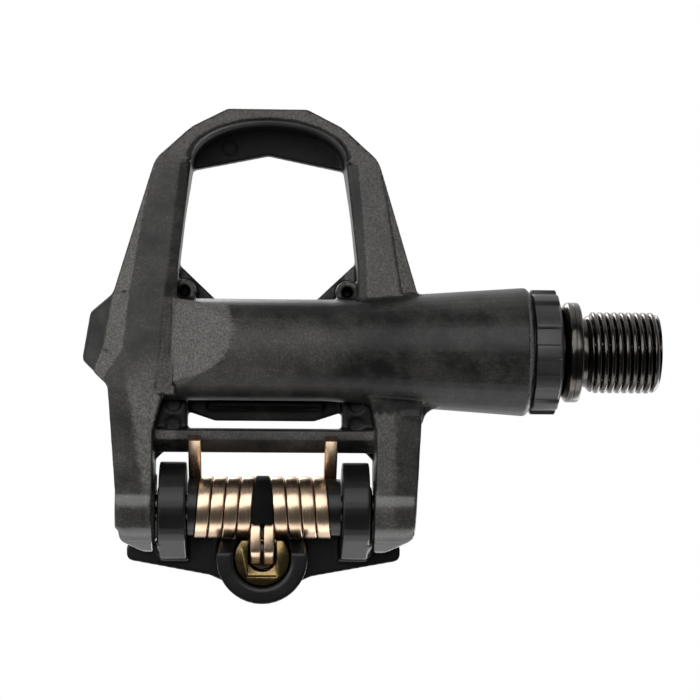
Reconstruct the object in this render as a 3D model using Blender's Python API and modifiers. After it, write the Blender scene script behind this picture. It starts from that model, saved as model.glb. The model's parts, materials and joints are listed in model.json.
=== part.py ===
"""Road clipless pedal, right-hand side, as an assembly of separate pieces.

Metres. The origin lies on the spindle's axis at the crank shoulder. +X runs along the spindle into the crank,
-Y is the nose of the pedal and +Z is the shoe side.
"""

import math

import bmesh
import bpy
from mathutils import Matrix, Vector

# Clearances between pieces
FIT = 0.0001
GAP = 0.0003

# Spindle, measured from the crank shoulder
THREAD_RADIUS = 0.00714
THREAD_PITCH = 0.00127
THREAD_DEPTH = 0.00078
THREAD_END = 0.0140
NECK_RADIUS = 0.00605
NECK_LENGTH = 0.00106
COLLAR_RADIUS = 0.0088
COLLAR_WIDTH = 0.0031
COLLAR_CHAMFER = 0.0008
HEX_ACROSS_FLATS = 0.0080
HEX_DEPTH = 0.0085
SEAL_JOURNAL_RADIUS = 0.0065
SHAFT_RADIUS = 0.0048
CIRCLIP_WIDTH = 0.0008
CIRCLIP_HEIGHT = 0.0016

# Ball bearing beside the crank
BEARING_BORE = 0.0050
BEARING_WIDTH = 0.0050
RACE_WALL = 0.0012
BALL_RADIUS = 0.00125
BALL_COUNT = 9
RACE_GAP = 0.00135

# Needle bearing at the outboard end
JOURNAL_RADIUS = 0.0040
NEEDLE_RADIUS = 0.00075
NEEDLE_LENGTH = 0.0072
NEEDLE_COUNT = 10
NEEDLE_CUP_WALL = 0.0007
NEEDLE_CUP_LENGTH = 0.0100
NEEDLE_CUP_CENTRE = 0.0010

# Lock ring and its seal
RING_WIDTH = 0.00505
RING_RADIUS = 0.01095
RING_NOTCHES = 12
RING_NOTCH_DEPTH = 0.0005
RING_NOTCH_WIDTH = 0.0026
RING_CONE = 0.0016
RING_FACE_WALL = 0.0006
RING_SPIGOT = 0.0042
RING_SPIGOT_WALL = 0.0009
SEAL_WIDTH = 0.0026
SEAL_DEPTH = 0.0013

# Body: the spindle tube and the plan view about the middle of the pedal
MIDDLE = -0.05488
TUBE_WALL_CRANK = 0.00245
TUBE_WALL_OUTBOARD = 0.0024
TUBE_OUTBOARD = -0.0730
TUBE_STRAIGHT = 0.0175
TUBE_EDGE = 0.0008
PAD_LEAN = 0.6
PAD_TURN = 0.3
PAD_Y = -0.0038
PAD_SINK = 0.92
NOSE_Y = -0.0427
NOSE_HALF = 0.0071
NOSE_ROUND = 0.0020
BROW_Y = -0.0394
BROW_HALF = 0.0134
BROW_ROUND = 0.0080
SHOULDER_Y = -0.0335
SHOULDER_HALF = 0.0197
SHOULDER_ROUND = 0.0050
HIP_Y = 0.0109
HIP_HALF = 0.0272
WAIST_Y = -0.0097
WAIST_HALF = 0.02665
WING_HALF = 0.0321
WING_FRONT = -0.0064
WING_CORNER = 0.0084
WING_REAR = 0.0066
WING_LEAN = 0.0013
CORNER_ROUND = 0.0012
WAIST_ROUND = 0.0020
WINDOW_OFFSET = 0.0003
WINDOW_FRONT_HALF = 0.0137
WINDOW_REAR_HALF = 0.0156
WINDOW_REAR_Y = -0.0152
WINDOW_FLARE = 0.0005
ARCH_WALL = 0.0022
HOOK_APEX_Y = -0.0354
HOOK_END_Y = -0.0326
PLATFORM_FRONT = -0.00887
PLATFORM_REAR = 0.0127
PLATFORM_FRONT_HALF = 0.0089
PLATFORM_REAR_HALF = 0.00885
PLATFORM_TAPER = 0.0047
PLATFORM_INSET = 0.0012
PLATFORM_ROOT = 0.0020
PLATFORM_SIDE_Y = 0.0060
PLATFORM_CORNER_Y = 0.0085
BOSS_HOLE_RADIUS = 0.00105
BOSS_WALL = 0.0010
BOSS_HALF = 0.0143
BOSS_Y = -0.0102
BOSS_BOTTOM = 0.0005

# Body: heights
NOSE_BOTTOM = 0.0047
SHOULDER_BOTTOM = 0.0022
WAIST_BOTTOM = -0.0025
ARM_BOTTOM = -0.0052
ARM_TOP = 0.0090
PLATFORM_TOP = 0.0110
PLATFORM_THICKNESS = 0.0045
HOOK_UNDERSIDE = 0.0155
HOOK_THICKNESS = 0.0030
HOOK_ROUND = 0.0015
HOOK_FOOT_ROUND = 0.0040
BODY_REACH = 0.04

# Body: sloping strips along the undersides of the arms and the wing
STRIP_START_Y = -0.0290
STRIP_START = 0.0003
STRIP_WIDTH = 0.0030
STRIP_SLOPE = math.radians(28)
STRIP_TURN_Y = 0.0006
STRIP_END_Y = 0.0045
STRIP_FLARE = 0.0010
WING_STRIP = 0.0037
WING_SLOPE = math.radians(48)

# Rear: latch pin, springs and the ears that carry them
PIN_Y = 0.0276
PIN_Z = 0.0010
PIN_RADIUS = 0.0024
SLEEVE_WALL = 0.0012
EAR_GAP = 0.0010
EAR_THICKNESS_CRANK = 0.0069
EAR_THICKNESS_OUTBOARD = 0.0058
EAR_REACH = 0.0080
EAR_HEIGHT = 0.0056
EAR_ROUND = 0.0020
EAR_HEEL_ROUND = 0.0082
LATCH_SWING_GAP = 0.0014
CROSSBAR_DEPTH = 0.0041
CROSSBAR_HEIGHT = 0.0075
BAY_LENGTH = 0.0096
BAY_CORNER = 0.0016
WEB_HALF = 0.0136
WEB_FRONT = 0.0040
WEB_BOTTOM = 0.0016
WEB_TOP = 0.0070
WEB_INSET = 0.0008
WIRE_WIDTH = 0.00205
WIRE_THICKNESS = 0.0014
SPRING_PITCH = 0.00245
SPRING_BANDS = 4
SPRING_INNER_BAND = 0.0030
SPRING_SIDE_GAP = 0.0004
OUTER_LEG_ANGLE = math.radians(133)
OUTER_LEG_LENGTH = 0.0124
INNER_LEG_DROP = 0.0022
INNER_LEG_REACH = 0.0045

# Latch, tension screw and nut
CORE_OFFSET = -0.0003
CHEEK_THICKNESS = 0.0047
CHEEK_RADIUS = 0.0079
CHEEK_HEEL = 0.0020
CHEEK_TOE = 0.0012
SKIRT_THICKNESS = 0.0006
SKIRT_RADIUS = 0.0036
LATCH_PLATE_THICKNESS = 0.0025
LATCH_WING_HALF = 0.0244
LATCH_WING_DEPTH = 0.0032
LATCH_WING_INSET = 0.0012
PLATE_REAR = 0.0033
PLATE_BOSS_REAR = 0.0045
PLATE_BOSS_SHARE = 0.9
CLAW_HALF = 0.0125
CLAW_WALL = 0.0028
CLAW_LIP = 0.0050
CLAW_LIP_THICKNESS = 0.0022
CLAW_TOP = 0.0173
CLAW_CHAMFER = 0.0010
SCREW_BOSS_WALL = 0.0029
SCREW_BOSS_BOTTOM = -0.0035
SCREW_RADIUS = 0.0025
SCREW_HEAD_RADIUS = 0.0038
SCREW_HEAD_HEIGHT = 0.0030
SCREW_HEX = 0.0030
SCREW_HEX_SHARE = 0.7
SCREW_GROOVE = 0.0005
SCREW_SEAT = 0.0036
NUT_RADIUS = 0.0047
NUT_HEIGHT = 0.0064
NUT_SLOT = 0.0050
NUT_SLOT_DEPTH = 0.0028
NUT_SLOT_WALL = 0.0015
NUT_TRAVEL = 0.0024
CLIP_THICKNESS = 0.0006

ROUND = 40
SMALL_ROUND = 20

# Stations along the spindle that follow from the sizes above
RING_CRANK_FACE = -COLLAR_WIDTH - GAP
RING_FACE = RING_CRANK_FACE - RING_WIDTH
TUBE_END = RING_FACE - GAP
BEARING_FACE = RING_FACE - RING_SPIGOT - GAP
BEARING_BACK = BEARING_FACE - BEARING_WIDTH
BALL_X = (BEARING_FACE + BEARING_BACK) / 2
NEEDLE_X = MIDDLE - NEEDLE_CUP_CENTRE
CUP_BACK = NEEDLE_X - NEEDLE_CUP_LENGTH / 2
SPINDLE_END = CUP_BACK - GAP
BORE_END = SPINDLE_END - GAP

# Radii that nest inside one another
INNER_RACE_RADIUS = BEARING_BORE + RACE_WALL
OUTER_RACE_RADIUS = INNER_RACE_RADIUS + RACE_GAP
BEARING_RADIUS = OUTER_RACE_RADIUS + RACE_WALL
BALL_PITCH = (INNER_RACE_RADIUS + OUTER_RACE_RADIUS) / 2
BEARING_SEAT = BEARING_RADIUS + FIT
NEEDLE_PITCH = JOURNAL_RADIUS + FIT + NEEDLE_RADIUS
CUP_BORE = NEEDLE_PITCH + NEEDLE_RADIUS + FIT
CUP_RADIUS = CUP_BORE + NEEDLE_CUP_WALL
CUP_SEAT = CUP_RADIUS + FIT
TUBE_RADIUS_CRANK = BEARING_SEAT + TUBE_WALL_CRANK
TUBE_RADIUS_OUTBOARD = CUP_SEAT + TUBE_WALL_OUTBOARD
SLEEVE_BORE = PIN_RADIUS + FIT
SLEEVE_RADIUS = SLEEVE_BORE + SLEEVE_WALL
SPRING_RADIUS = SLEEVE_RADIUS + GAP + WIRE_THICKNESS / 2
SPRING_OUTER = SPRING_RADIUS + WIRE_THICKNESS / 2
POCKET_RADIUS = SPRING_OUTER + GAP
SPRING_LEG_INNER = SPRING_INNER_BAND - 0.75 * SPRING_PITCH
SPRING_LEG_OUTER = SPRING_LEG_INNER + SPRING_PITCH * (SPRING_BANDS + OUTER_LEG_ANGLE / math.tau)
CHEEK_INNER = SPRING_LEG_OUTER + WIRE_WIDTH / 2 + SPRING_SIDE_GAP - CORE_OFFSET
CHEEK_OUTER = CHEEK_INNER + CHEEK_THICKNESS
EAR_INNER = CHEEK_OUTER + EAR_GAP
CORE = MIDDLE + CORE_OFFSET
BAY_FRONT = PIN_Y - BAY_LENGTH
CROSSBAR_FRONT = BAY_FRONT - CROSSBAR_DEPTH
NUT_FRONT = POCKET_RADIUS - GAP / 2
SCREW_Y = PIN_Y + NUT_FRONT + SCREW_RADIUS + 2 * GAP
NUT_BORE = NUT_RADIUS + GAP
SCREW_BOSS_RADIUS = NUT_BORE + SCREW_BOSS_WALL

# Heights at the rear
EAR_TOP = PIN_Z + EAR_HEIGHT
PLATE_BOTTOM = EAR_TOP + LATCH_SWING_GAP
PLATE_TOP = PLATE_BOTTOM + LATCH_PLATE_THICKNESS
SLOT_ROOF = PIN_Z - INNER_LEG_DROP + WIRE_THICKNESS / 2 + GAP
NUT_BOTTOM = SLOT_ROOF - NUT_SLOT_DEPTH
NUT_TOP = NUT_BOTTOM + NUT_HEIGHT
CLIP_BOTTOM = NUT_TOP + NUT_TRAVEL + GAP
CLIP_TOP = CLIP_BOTTOM + CLIP_THICKNESS
NUT_BORE_TOP = CLIP_TOP + GAP
SCREW_SEAT_TOP = NUT_BORE_TOP + SCREW_SEAT
CLAW_REAR = SCREW_Y - SCREW_HEAD_RADIUS - GAP
CLAW_FRONT = CLAW_REAR - CLAW_WALL


def clear_scene():
    for old in list(bpy.data.objects):
        bpy.data.objects.remove(old, do_unlink=True)


def new_collection(name):
    made = bpy.data.collections.new(name)
    bpy.context.scene.collection.children.link(made)
    return made


def new_material(name, colour, roughness, metallic=0.0):
    made = bpy.data.materials.new(name)
    made.use_nodes = True
    shader = made.node_tree.nodes["Principled BSDF"]
    shader.inputs["Base Color"].default_value = (*colour, 1.0)
    shader.inputs["Roughness"].default_value = roughness
    shader.inputs["Metallic"].default_value = metallic
    return made


clear_scene()
PEDAL = new_collection("clipless_pedal")
CUTTERS = new_collection("cutters")
NYLON = new_material("fibre_nylon", (0.045, 0.045, 0.043), 0.62)
LATCH_BLACK = new_material("latch_black", (0.018, 0.018, 0.019), 0.42)
RING_BLACK = new_material("ring_black", (0.022, 0.022, 0.023), 0.45)
BLACK_STEEL = new_material("black_steel", (0.02, 0.018, 0.016), 0.22, 1.0)
BEARING_STEEL = new_material("bearing_steel", (0.55, 0.55, 0.56), 0.22, 1.0)
SPRING_BRONZE = new_material("spring_bronze", (0.62, 0.45, 0.31), 0.28, 1.0)
NUT_BRONZE = new_material("nut_bronze", (0.52, 0.38, 0.2), 0.3, 1.0)
SEAL_RUBBER = new_material("seal_rubber", (0.015, 0.015, 0.015), 0.7)


def keep(obj, material):
    """Lists an object as a piece of the pedal."""
    PEDAL.objects.link(obj)
    obj.data.materials.clear()
    obj.data.materials.append(material)
    obj.data.shade_smooth()
    obj.data.set_sharp_from_angle(angle=math.radians(35))
    return obj


def helper(obj):
    """Lists an object as a cutter or a joining shape."""
    CUTTERS.objects.link(obj)
    obj.hide_render = True
    obj.display_type = "WIRE"
    return obj


def pivot(name, place, parent=None):
    """An empty on a joint's axis."""
    made = bpy.data.objects.new(name, None)
    made.empty_display_size = 0.01
    PEDAL.objects.link(made)
    made.location = place
    if parent:
        made.parent = parent
        made.location = Vector(place) - parent.location
    return made


def hang(obj, empty):
    """Parents a piece to the empty on its joint's axis and leaves it where it is."""
    chain = empty
    offset = Vector()
    while chain:
        offset += chain.location
        chain = chain.parent
    obj.location -= offset
    obj.parent = empty


def arc(centre, radius, start, end, steps):
    """Points of an arc about centre, with the ends included."""
    points = []
    for i in range(steps + 1):
        angle = start + (end - start) * i / steps
        points.append((centre[0] + radius * math.cos(angle), centre[1] + radius * math.sin(angle)))
    return points


def rounded(corners, steps=4):
    """An outline from corners (x, y) or (x, y, radius), with an arc at each corner that has a radius."""
    outline = []
    count = len(corners)
    for i, corner in enumerate(corners):
        here = Vector(corner[:2])
        if len(corner) < 3:
            outline.append(tuple(here))
            continue
        back = (Vector(corners[i - 1][:2]) - here).normalized()
        ahead = (Vector(corners[(i + 1) % count][:2]) - here).normalized()
        half = back.angle(ahead) / 2
        centre = here + (back + ahead).normalized() * corner[2] / math.sin(half)
        first = here + back * corner[2] / math.tan(half) - centre
        turn = first.angle_signed(here + ahead * corner[2] / math.tan(half) - centre)
        for j in range(steps + 1):
            outline.append(tuple(centre + Matrix.Rotation(-turn * j / steps, 2) @ first))
    return outline


def mirrored(half):
    """A closed outline from its half at positive x, given from front to rear."""
    return list(half) + [(-x, y) for x, y in reversed(half)]


def as_mesh(curve_object):
    """Turns a filled curve into a welded mesh object of the same name."""
    bpy.context.scene.collection.objects.link(curve_object)
    bpy.context.view_layer.update()
    graph = bpy.context.evaluated_depsgraph_get()
    mesh = bpy.data.meshes.new_from_object(curve_object.evaluated_get(graph))
    name = curve_object.name
    bpy.data.objects.remove(curve_object, do_unlink=True)
    shape = bmesh.new()
    shape.from_mesh(mesh)
    bmesh.ops.remove_doubles(shape, verts=shape.verts, dist=1e-7)
    bmesh.ops.dissolve_limit(shape, angle_limit=math.radians(0.5), verts=shape.verts, edges=shape.edges)
    bmesh.ops.recalc_face_normals(shape, faces=shape.faces)
    shape.to_mesh(mesh)
    shape.free()
    return bpy.data.objects.new(name, mesh)


def prism(name, outline, low, high, along="Z"):
    """A flat outline extruded from low to high, along Z (outline in XY) or along X (outline in YZ)."""
    curve = bpy.data.curves.new(name, "CURVE")
    curve.dimensions = "2D"
    curve.fill_mode = "BOTH"
    curve.extrude = (high - low) / 2
    spline = curve.splines.new("POLY")
    spline.points.add(len(outline) - 1)
    for point, (x, y) in zip(spline.points, outline):
        point.co = (x, y, 0, 1)
    spline.use_cyclic_u = True
    made = as_mesh(bpy.data.objects.new(name, curve))
    made.data.transform(Matrix.Translation((0, 0, (low + high) / 2)))
    if along == "X":
        made.data.transform(Matrix(((0, 0, 1, 0), (1, 0, 0, 0), (0, 1, 0, 0), (0, 0, 0, 1))))
    return made


def middle_prism(name, outline, low, high):
    """A prism whose outline is given about the pedal's middle plane."""
    return prism(name, [(MIDDLE + x, y) for x, y in outline], low, high)


def turned(name, profile, steps=ROUND, closed=False, axis="X"):
    """A turned shape: profile points are (place along the axis, radius), from the crank side or the top."""
    mesh = bpy.data.meshes.new(name)
    edges = [(i, i + 1) for i in range(len(profile) - 1)]
    if closed:
        edges.append((len(profile) - 1, 0))
    mesh.from_pydata([(radius, 0, place) for place, radius in profile], edges, [])
    made = bpy.data.objects.new(name, mesh)
    if axis == "X":
        made.rotation_euler = (0, math.pi / 2, 0)
    screw = made.modifiers.new("turn", "SCREW")
    screw.steps = steps
    screw.render_steps = steps
    screw.use_merge_vertices = True
    screw.merge_threshold = 1e-6
    screw.use_smooth_shade = True
    return made


def ring(name, crank_face, back_face, inner, outer, steps=ROUND):
    """A plain turned ring about X."""
    profile = [(crank_face, inner), (crank_face, outer), (back_face, outer), (back_face, inner)]
    return turned(name, profile, steps, closed=True)


def cylinder(name, radius, low, high, place, axis="Z", steps=ROUND):
    """A cylinder from low to high along an axis, with place giving the other two coordinates."""
    shape = bmesh.new()
    bmesh.ops.create_cone(
        shape, cap_ends=True, segments=steps, radius1=radius, radius2=radius, depth=high - low
    )
    mesh = bpy.data.meshes.new(name)
    shape.to_mesh(mesh)
    shape.free()
    made = bpy.data.objects.new(name, mesh)
    centre = (low + high) / 2
    if axis == "X":
        mesh.transform(Matrix.Rotation(math.pi / 2, 4, "Y"))
        made.location = (centre, place[0], place[1])
    else:
        made.location = (place[0], place[1], centre)
    return made


def box(name, low, high):
    shape = bmesh.new()
    bmesh.ops.create_cube(shape, size=1.0)
    mesh = bpy.data.meshes.new(name)
    shape.to_mesh(mesh)
    shape.free()
    sides = [b - a for a, b in zip(low, high)]
    mesh.transform(Matrix.Diagonal((*sides, 1.0)))
    made = bpy.data.objects.new(name, mesh)
    made.location = [(a + b) / 2 for a, b in zip(low, high)]
    return made


def boolean(obj, other, operation):
    """Adds an exact Boolean with a helper shape."""
    if other.name not in CUTTERS.objects:
        helper(other)
    step = obj.modifiers.new(other.name, "BOOLEAN")
    step.operation = operation
    step.solver = "EXACT"
    step.object = other


def cut(obj, other):
    boolean(obj, other, "DIFFERENCE")


def join(obj, other):
    boolean(obj, other, "UNION")


def intersect(obj, other):
    boolean(obj, other, "INTERSECT")


def oriented_box(name, corner, along, across, depth):
    """A box that starts at a corner and runs along three given edge vectors."""
    made = box(name, (0, 0, 0), (1, 1, 1))
    made.data.transform(Matrix.Translation((0.5, 0.5, 0.5)))
    made.location = (0, 0, 0)
    frame = Matrix((along, across, depth)).transposed().to_4x4()
    frame.translation = corner
    made.data.transform(frame)
    if frame.determinant() < 0:
        made.data.flip_normals()
    return made


def around_spindle(name, matrices, sides=None, radius=None):
    """One cutter that holds a box, or a ball, at each of the given placements."""
    shape = bmesh.new()
    for matrix in matrices:
        if radius:
            bmesh.ops.create_icosphere(shape, subdivisions=2, radius=radius, matrix=matrix)
        else:
            bmesh.ops.create_cube(shape, size=1.0, matrix=matrix @ Matrix.Diagonal((*sides, 1.0)))
    mesh = bpy.data.meshes.new(name)
    shape.to_mesh(mesh)
    shape.free()
    return bpy.data.objects.new(name, mesh)


def spaced(count, place, radius, half_step=False):
    """Placements evenly spaced round the spindle, each with its local Z pointing outwards."""
    found = []
    for i in range(count):
        turn = Matrix.Rotation(math.tau * (i + 0.5 * half_step) / count, 4, "X")
        found.append(turn @ Matrix.Translation((place, 0, radius)))
    return found


# Spindle and the pieces fixed to it


def make_spindle():
    root = THREAD_RADIUS - THREAD_DEPTH
    profile = [(THREAD_END, 0), (THREAD_END, root)]
    for i in range(int((THREAD_END - NECK_LENGTH) / THREAD_PITCH)):
        crest = THREAD_END - THREAD_PITCH * (i + 0.5)
        profile += [(crest, THREAD_RADIUS), (crest - THREAD_PITCH / 2, root)]
    seat = BEARING_BORE - FIT
    groove = seat - CIRCLIP_HEIGHT / 3
    groove_face = BEARING_BACK - GAP + FIT
    groove_back = BEARING_BACK - GAP - CIRCLIP_WIDTH - FIT
    cup_face = CUP_BACK + NEEDLE_CUP_LENGTH
    profile += [
        (NECK_LENGTH, NECK_RADIUS),
        (0, NECK_RADIUS),
        (0, COLLAR_RADIUS - COLLAR_CHAMFER),
        (-COLLAR_CHAMFER, COLLAR_RADIUS),
        (COLLAR_CHAMFER - COLLAR_WIDTH, COLLAR_RADIUS),
        (-COLLAR_WIDTH, COLLAR_RADIUS - 1.5 * COLLAR_CHAMFER),
        (-COLLAR_WIDTH, SEAL_JOURNAL_RADIUS),
        (BEARING_FACE + GAP, SEAL_JOURNAL_RADIUS),
        (BEARING_FACE + GAP, seat),
        (groove_face, seat),
        (groove_face, groove),
        (groove_back, groove),
        (groove_back, SHAFT_RADIUS),
        (cup_face + 2 * SHAFT_RADIUS - 2 * JOURNAL_RADIUS, SHAFT_RADIUS),
        (cup_face + GAP, JOURNAL_RADIUS),
        (SPINDLE_END + GAP, JOURNAL_RADIUS),
        (SPINDLE_END, JOURNAL_RADIUS - GAP),
        (SPINDLE_END, 0),
    ]
    spindle = keep(turned("spindle", profile), BLACK_STEEL)
    hexagon = HEX_ACROSS_FLATS / math.sqrt(3)
    cut(spindle, cylinder("hex_socket", hexagon, THREAD_END - HEX_DEPTH, 2 * THREAD_END, (0, 0), "X", 6))
    clip = ring(
        "spindle_circlip",
        BEARING_BACK - GAP,
        BEARING_BACK - GAP - CIRCLIP_WIDTH,
        groove + FIT,
        groove + FIT + CIRCLIP_HEIGHT,
        SMALL_ROUND,
    )
    keep(clip, BEARING_STEEL)
    gap = CIRCLIP_HEIGHT
    cut(clip, box("circlip_gap", (BEARING_BACK - 2 * gap, -gap / 2, 0), (BEARING_BACK, gap / 2, 4 * groove)))
    return [spindle, clip]


def groove_points(side):
    """The ball groove of a race, as (place, radius), from the crank side; side is -1 inner, +1 outer."""
    reach = BALL_RADIUS + FIT
    spread = math.acos(RACE_GAP / 2 / reach)
    points = []
    for i in range(6):
        angle = spread * (1 - 2 * i / 5)
        points.append((BALL_X + reach * math.sin(angle), BALL_PITCH + side * reach * math.cos(angle)))
    return points


def make_ball_bearing():
    inner_profile = [(BEARING_FACE, BEARING_BORE), (BEARING_FACE, INNER_RACE_RADIUS)]
    inner_profile += groove_points(-1)
    inner_profile += [(BEARING_BACK, INNER_RACE_RADIUS), (BEARING_BACK, BEARING_BORE)]
    inner = keep(turned("bearing_inner_race", inner_profile, 32, closed=True), BEARING_STEEL)
    outer_profile = [(BEARING_FACE, BEARING_RADIUS), (BEARING_BACK, BEARING_RADIUS)]
    outer_profile += [(BEARING_BACK, OUTER_RACE_RADIUS)]
    outer_profile += list(reversed(groove_points(1)))
    outer_profile += [(BEARING_FACE, OUTER_RACE_RADIUS)]
    outer = keep(turned("bearing_outer_race", outer_profile, 32, closed=True), BEARING_STEEL)
    shield = ring(
        "bearing_shield",
        BEARING_FACE - FIT,
        BEARING_FACE - FIT - GAP,
        INNER_RACE_RADIUS + FIT,
        OUTER_RACE_RADIUS - FIT,
        32,
    )
    keep(shield, SEAL_RUBBER)
    half_wall = RACE_GAP * 0.3
    half_width = BALL_RADIUS + FIT + half_wall
    cage = ring(
        "bearing_cage", BALL_X + half_width, BALL_X - half_width, BALL_PITCH - half_wall, BALL_PITCH + half_wall, 36
    )
    keep(cage, NUT_BRONZE)
    places = spaced(BALL_COUNT, BALL_X, BALL_PITCH)
    cut(cage, around_spindle("ball_pockets", places, radius=BALL_RADIUS + FIT))
    balls = []
    for i, matrix in enumerate(places):
        ball = around_spindle(f"ball_{i + 1}", [matrix], radius=BALL_RADIUS)
        balls.append(keep(ball, BEARING_STEEL))
    return inner, outer, shield, [cage] + balls


def make_needle_bearing():
    cup_face = CUP_BACK + NEEDLE_CUP_LENGTH
    cup = keep(ring("needle_cup", cup_face, CUP_BACK, CUP_BORE, CUP_RADIUS, 32), BEARING_STEEL)
    half_wall = NEEDLE_RADIUS * 0.45
    end = (NEEDLE_CUP_LENGTH - NEEDLE_LENGTH) / 4
    cage = ring(
        "needle_cage", cup_face - end, CUP_BACK + end, NEEDLE_PITCH - half_wall, NEEDLE_PITCH + half_wall, 40
    )
    keep(cage, NUT_BRONZE)
    places = spaced(NEEDLE_COUNT, NEEDLE_X, NEEDLE_PITCH)
    slot = 2 * (NEEDLE_RADIUS + FIT)
    cut(cage, around_spindle("needle_slots", places, sides=(NEEDLE_LENGTH + 2 * FIT, slot, slot)))
    needles = []
    for i, matrix in enumerate(places):
        low = NEEDLE_X - NEEDLE_LENGTH / 2
        needle = cylinder(f"needle_{i + 1}", NEEDLE_RADIUS, low, low + NEEDLE_LENGTH, (0, 0), "X", 8)
        needle.location = matrix.translation
        needles.append(keep(needle, BEARING_STEEL))
    return cup, [cage] + needles


def make_lock_ring():
    spigot = BEARING_SEAT - FIT
    bore = spigot - RING_SPIGOT_WALL
    profile = [
        (RING_CRANK_FACE, bore),
        (RING_CRANK_FACE, bore + RING_FACE_WALL),
        (RING_CRANK_FACE - RING_CONE, RING_RADIUS),
        (RING_FACE, RING_RADIUS),
        (RING_FACE, spigot),
        (RING_FACE - RING_SPIGOT, spigot),
        (RING_FACE - RING_SPIGOT, bore),
    ]
    lock = keep(turned("lock_ring", profile, 48, closed=True), RING_BLACK)
    places = spaced(RING_NOTCHES, (RING_FACE + RING_CRANK_FACE) / 2, RING_RADIUS, half_step=True)
    sides = (2 * RING_WIDTH, RING_NOTCH_WIDTH, 2 * RING_NOTCH_DEPTH)
    cut(lock, around_spindle("ring_notches", places, sides=sides))
    face = RING_CRANK_FACE - SEAL_DEPTH
    seal = ring("lip_seal", face, face - SEAL_WIDTH, SEAL_JOURNAL_RADIUS + FIT, bore - FIT, 32)
    return lock, keep(seal, SEAL_RUBBER)


# Body of the pedal


def ear_thickness(sign):
    return EAR_THICKNESS_CRANK if sign > 0 else EAR_THICKNESS_OUTBOARD


def side_outline(sign):
    """One side of the plan outline, from the nose to the ear's inner corner; sign is +1 on the crank side."""
    ear_end = PIN_Y + EAR_REACH
    thickness = ear_thickness(sign)
    corners = [
        (sign * NOSE_HALF, NOSE_Y, NOSE_ROUND),
        (sign * BROW_HALF, BROW_Y, BROW_ROUND),
        (sign * SHOULDER_HALF, SHOULDER_Y, SHOULDER_ROUND),
    ]
    if sign < 0:
        corners += [
            (-WAIST_HALF, WAIST_Y, WAIST_ROUND),
            (-WING_HALF + WING_LEAN, WING_FRONT, CORNER_ROUND),
            (-WING_HALF, WING_FRONT + WING_CORNER, CORNER_ROUND),
            (-HIP_HALF, WING_REAR - GAP, WAIST_ROUND),
        ]
    else:
        corners += [(WAIST_HALF, WAIST_Y), (HIP_HALF, HIP_Y)]
    return corners + [
        (sign * (EAR_INNER + thickness), ear_end - 0.4 * thickness, EAR_ROUND),
        (sign * (EAR_INNER + 0.25 * thickness), ear_end, EAR_ROUND / 2),
        (sign * EAR_INNER, ear_end),
    ]


def frame_profile():
    """The side view of the arms, the nose and the ears, as (y, z)."""
    ear_end = PIN_Y + EAR_REACH + GAP
    hook_top = HOOK_UNDERSIDE + HOOK_THICKNESS
    return rounded(
        [
            (2 * NOSE_Y, NOSE_BOTTOM + (NOSE_BOTTOM - SHOULDER_BOTTOM) * NOSE_Y / (NOSE_Y - SHOULDER_Y)),
            (SHOULDER_Y, SHOULDER_BOTTOM),
            (WAIST_Y, WAIST_BOTTOM),
            (WING_REAR, ARM_BOTTOM),
            (ear_end, ARM_BOTTOM, EAR_HEEL_ROUND),
            (ear_end, EAR_TOP, EAR_ROUND),
            (PIN_Y + EAR_REACH / 3, EAR_TOP),
            (PIN_Y - EAR_REACH / 2, ARM_TOP),
            (HOOK_END_Y + ARM_TOP, ARM_TOP, HOOK_FOOT_ROUND),
            (HOOK_END_Y, hook_top, HOOK_ROUND),
            (2 * NOSE_Y, hook_top),
        ]
    )


def facet(body, name, start, end, outwards, rise):
    """Cuts a sloping strip along an underside edge, from start to end, that rises outwards at an angle."""
    along = Vector(end) - Vector(start)
    side = Vector((along.y, -along.x, 0)).normalized()
    if side.dot(Vector(outwards)) < 0:
        side.negate()
    across = side * math.cos(rise) + Vector((0, 0, math.sin(rise)))
    down = along.cross(across).normalized()
    if down.z > 0:
        down.negate()
    reach = WING_HALF / 2
    cut(body, oriented_box(name, Vector(start) + MIDDLE * Vector((1, 0, 0)), along, across * reach, down * reach))


def make_tube():
    """The tapered spindle tube, with a sloping pad at its outboard end."""
    profile = [
        (TUBE_END, 0),
        (TUBE_END, TUBE_RADIUS_CRANK - TUBE_EDGE),
        (TUBE_END - TUBE_EDGE, TUBE_RADIUS_CRANK),
        (BORE_END + TUBE_STRAIGHT, TUBE_RADIUS_OUTBOARD),
        (TUBE_OUTBOARD, TUBE_RADIUS_OUTBOARD),
        (TUBE_OUTBOARD, 0),
    ]
    tube = helper(turned("spindle_tube", profile, 48))
    slope = Vector((-PAD_LEAN, -PAD_TURN, -1)).normalized()
    along = slope.cross(Vector((0, 1, 0))).normalized()
    across = slope.cross(along)
    reach = 2 * WING_HALF
    foot = Vector((BORE_END, PAD_Y, -TUBE_RADIUS_OUTBOARD * PAD_SINK))
    corner = foot - (along + across) * reach / 2
    cut(tube, oriented_box("tube_end_slope", corner, along * reach, across * reach, slope * reach))
    return tube


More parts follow.
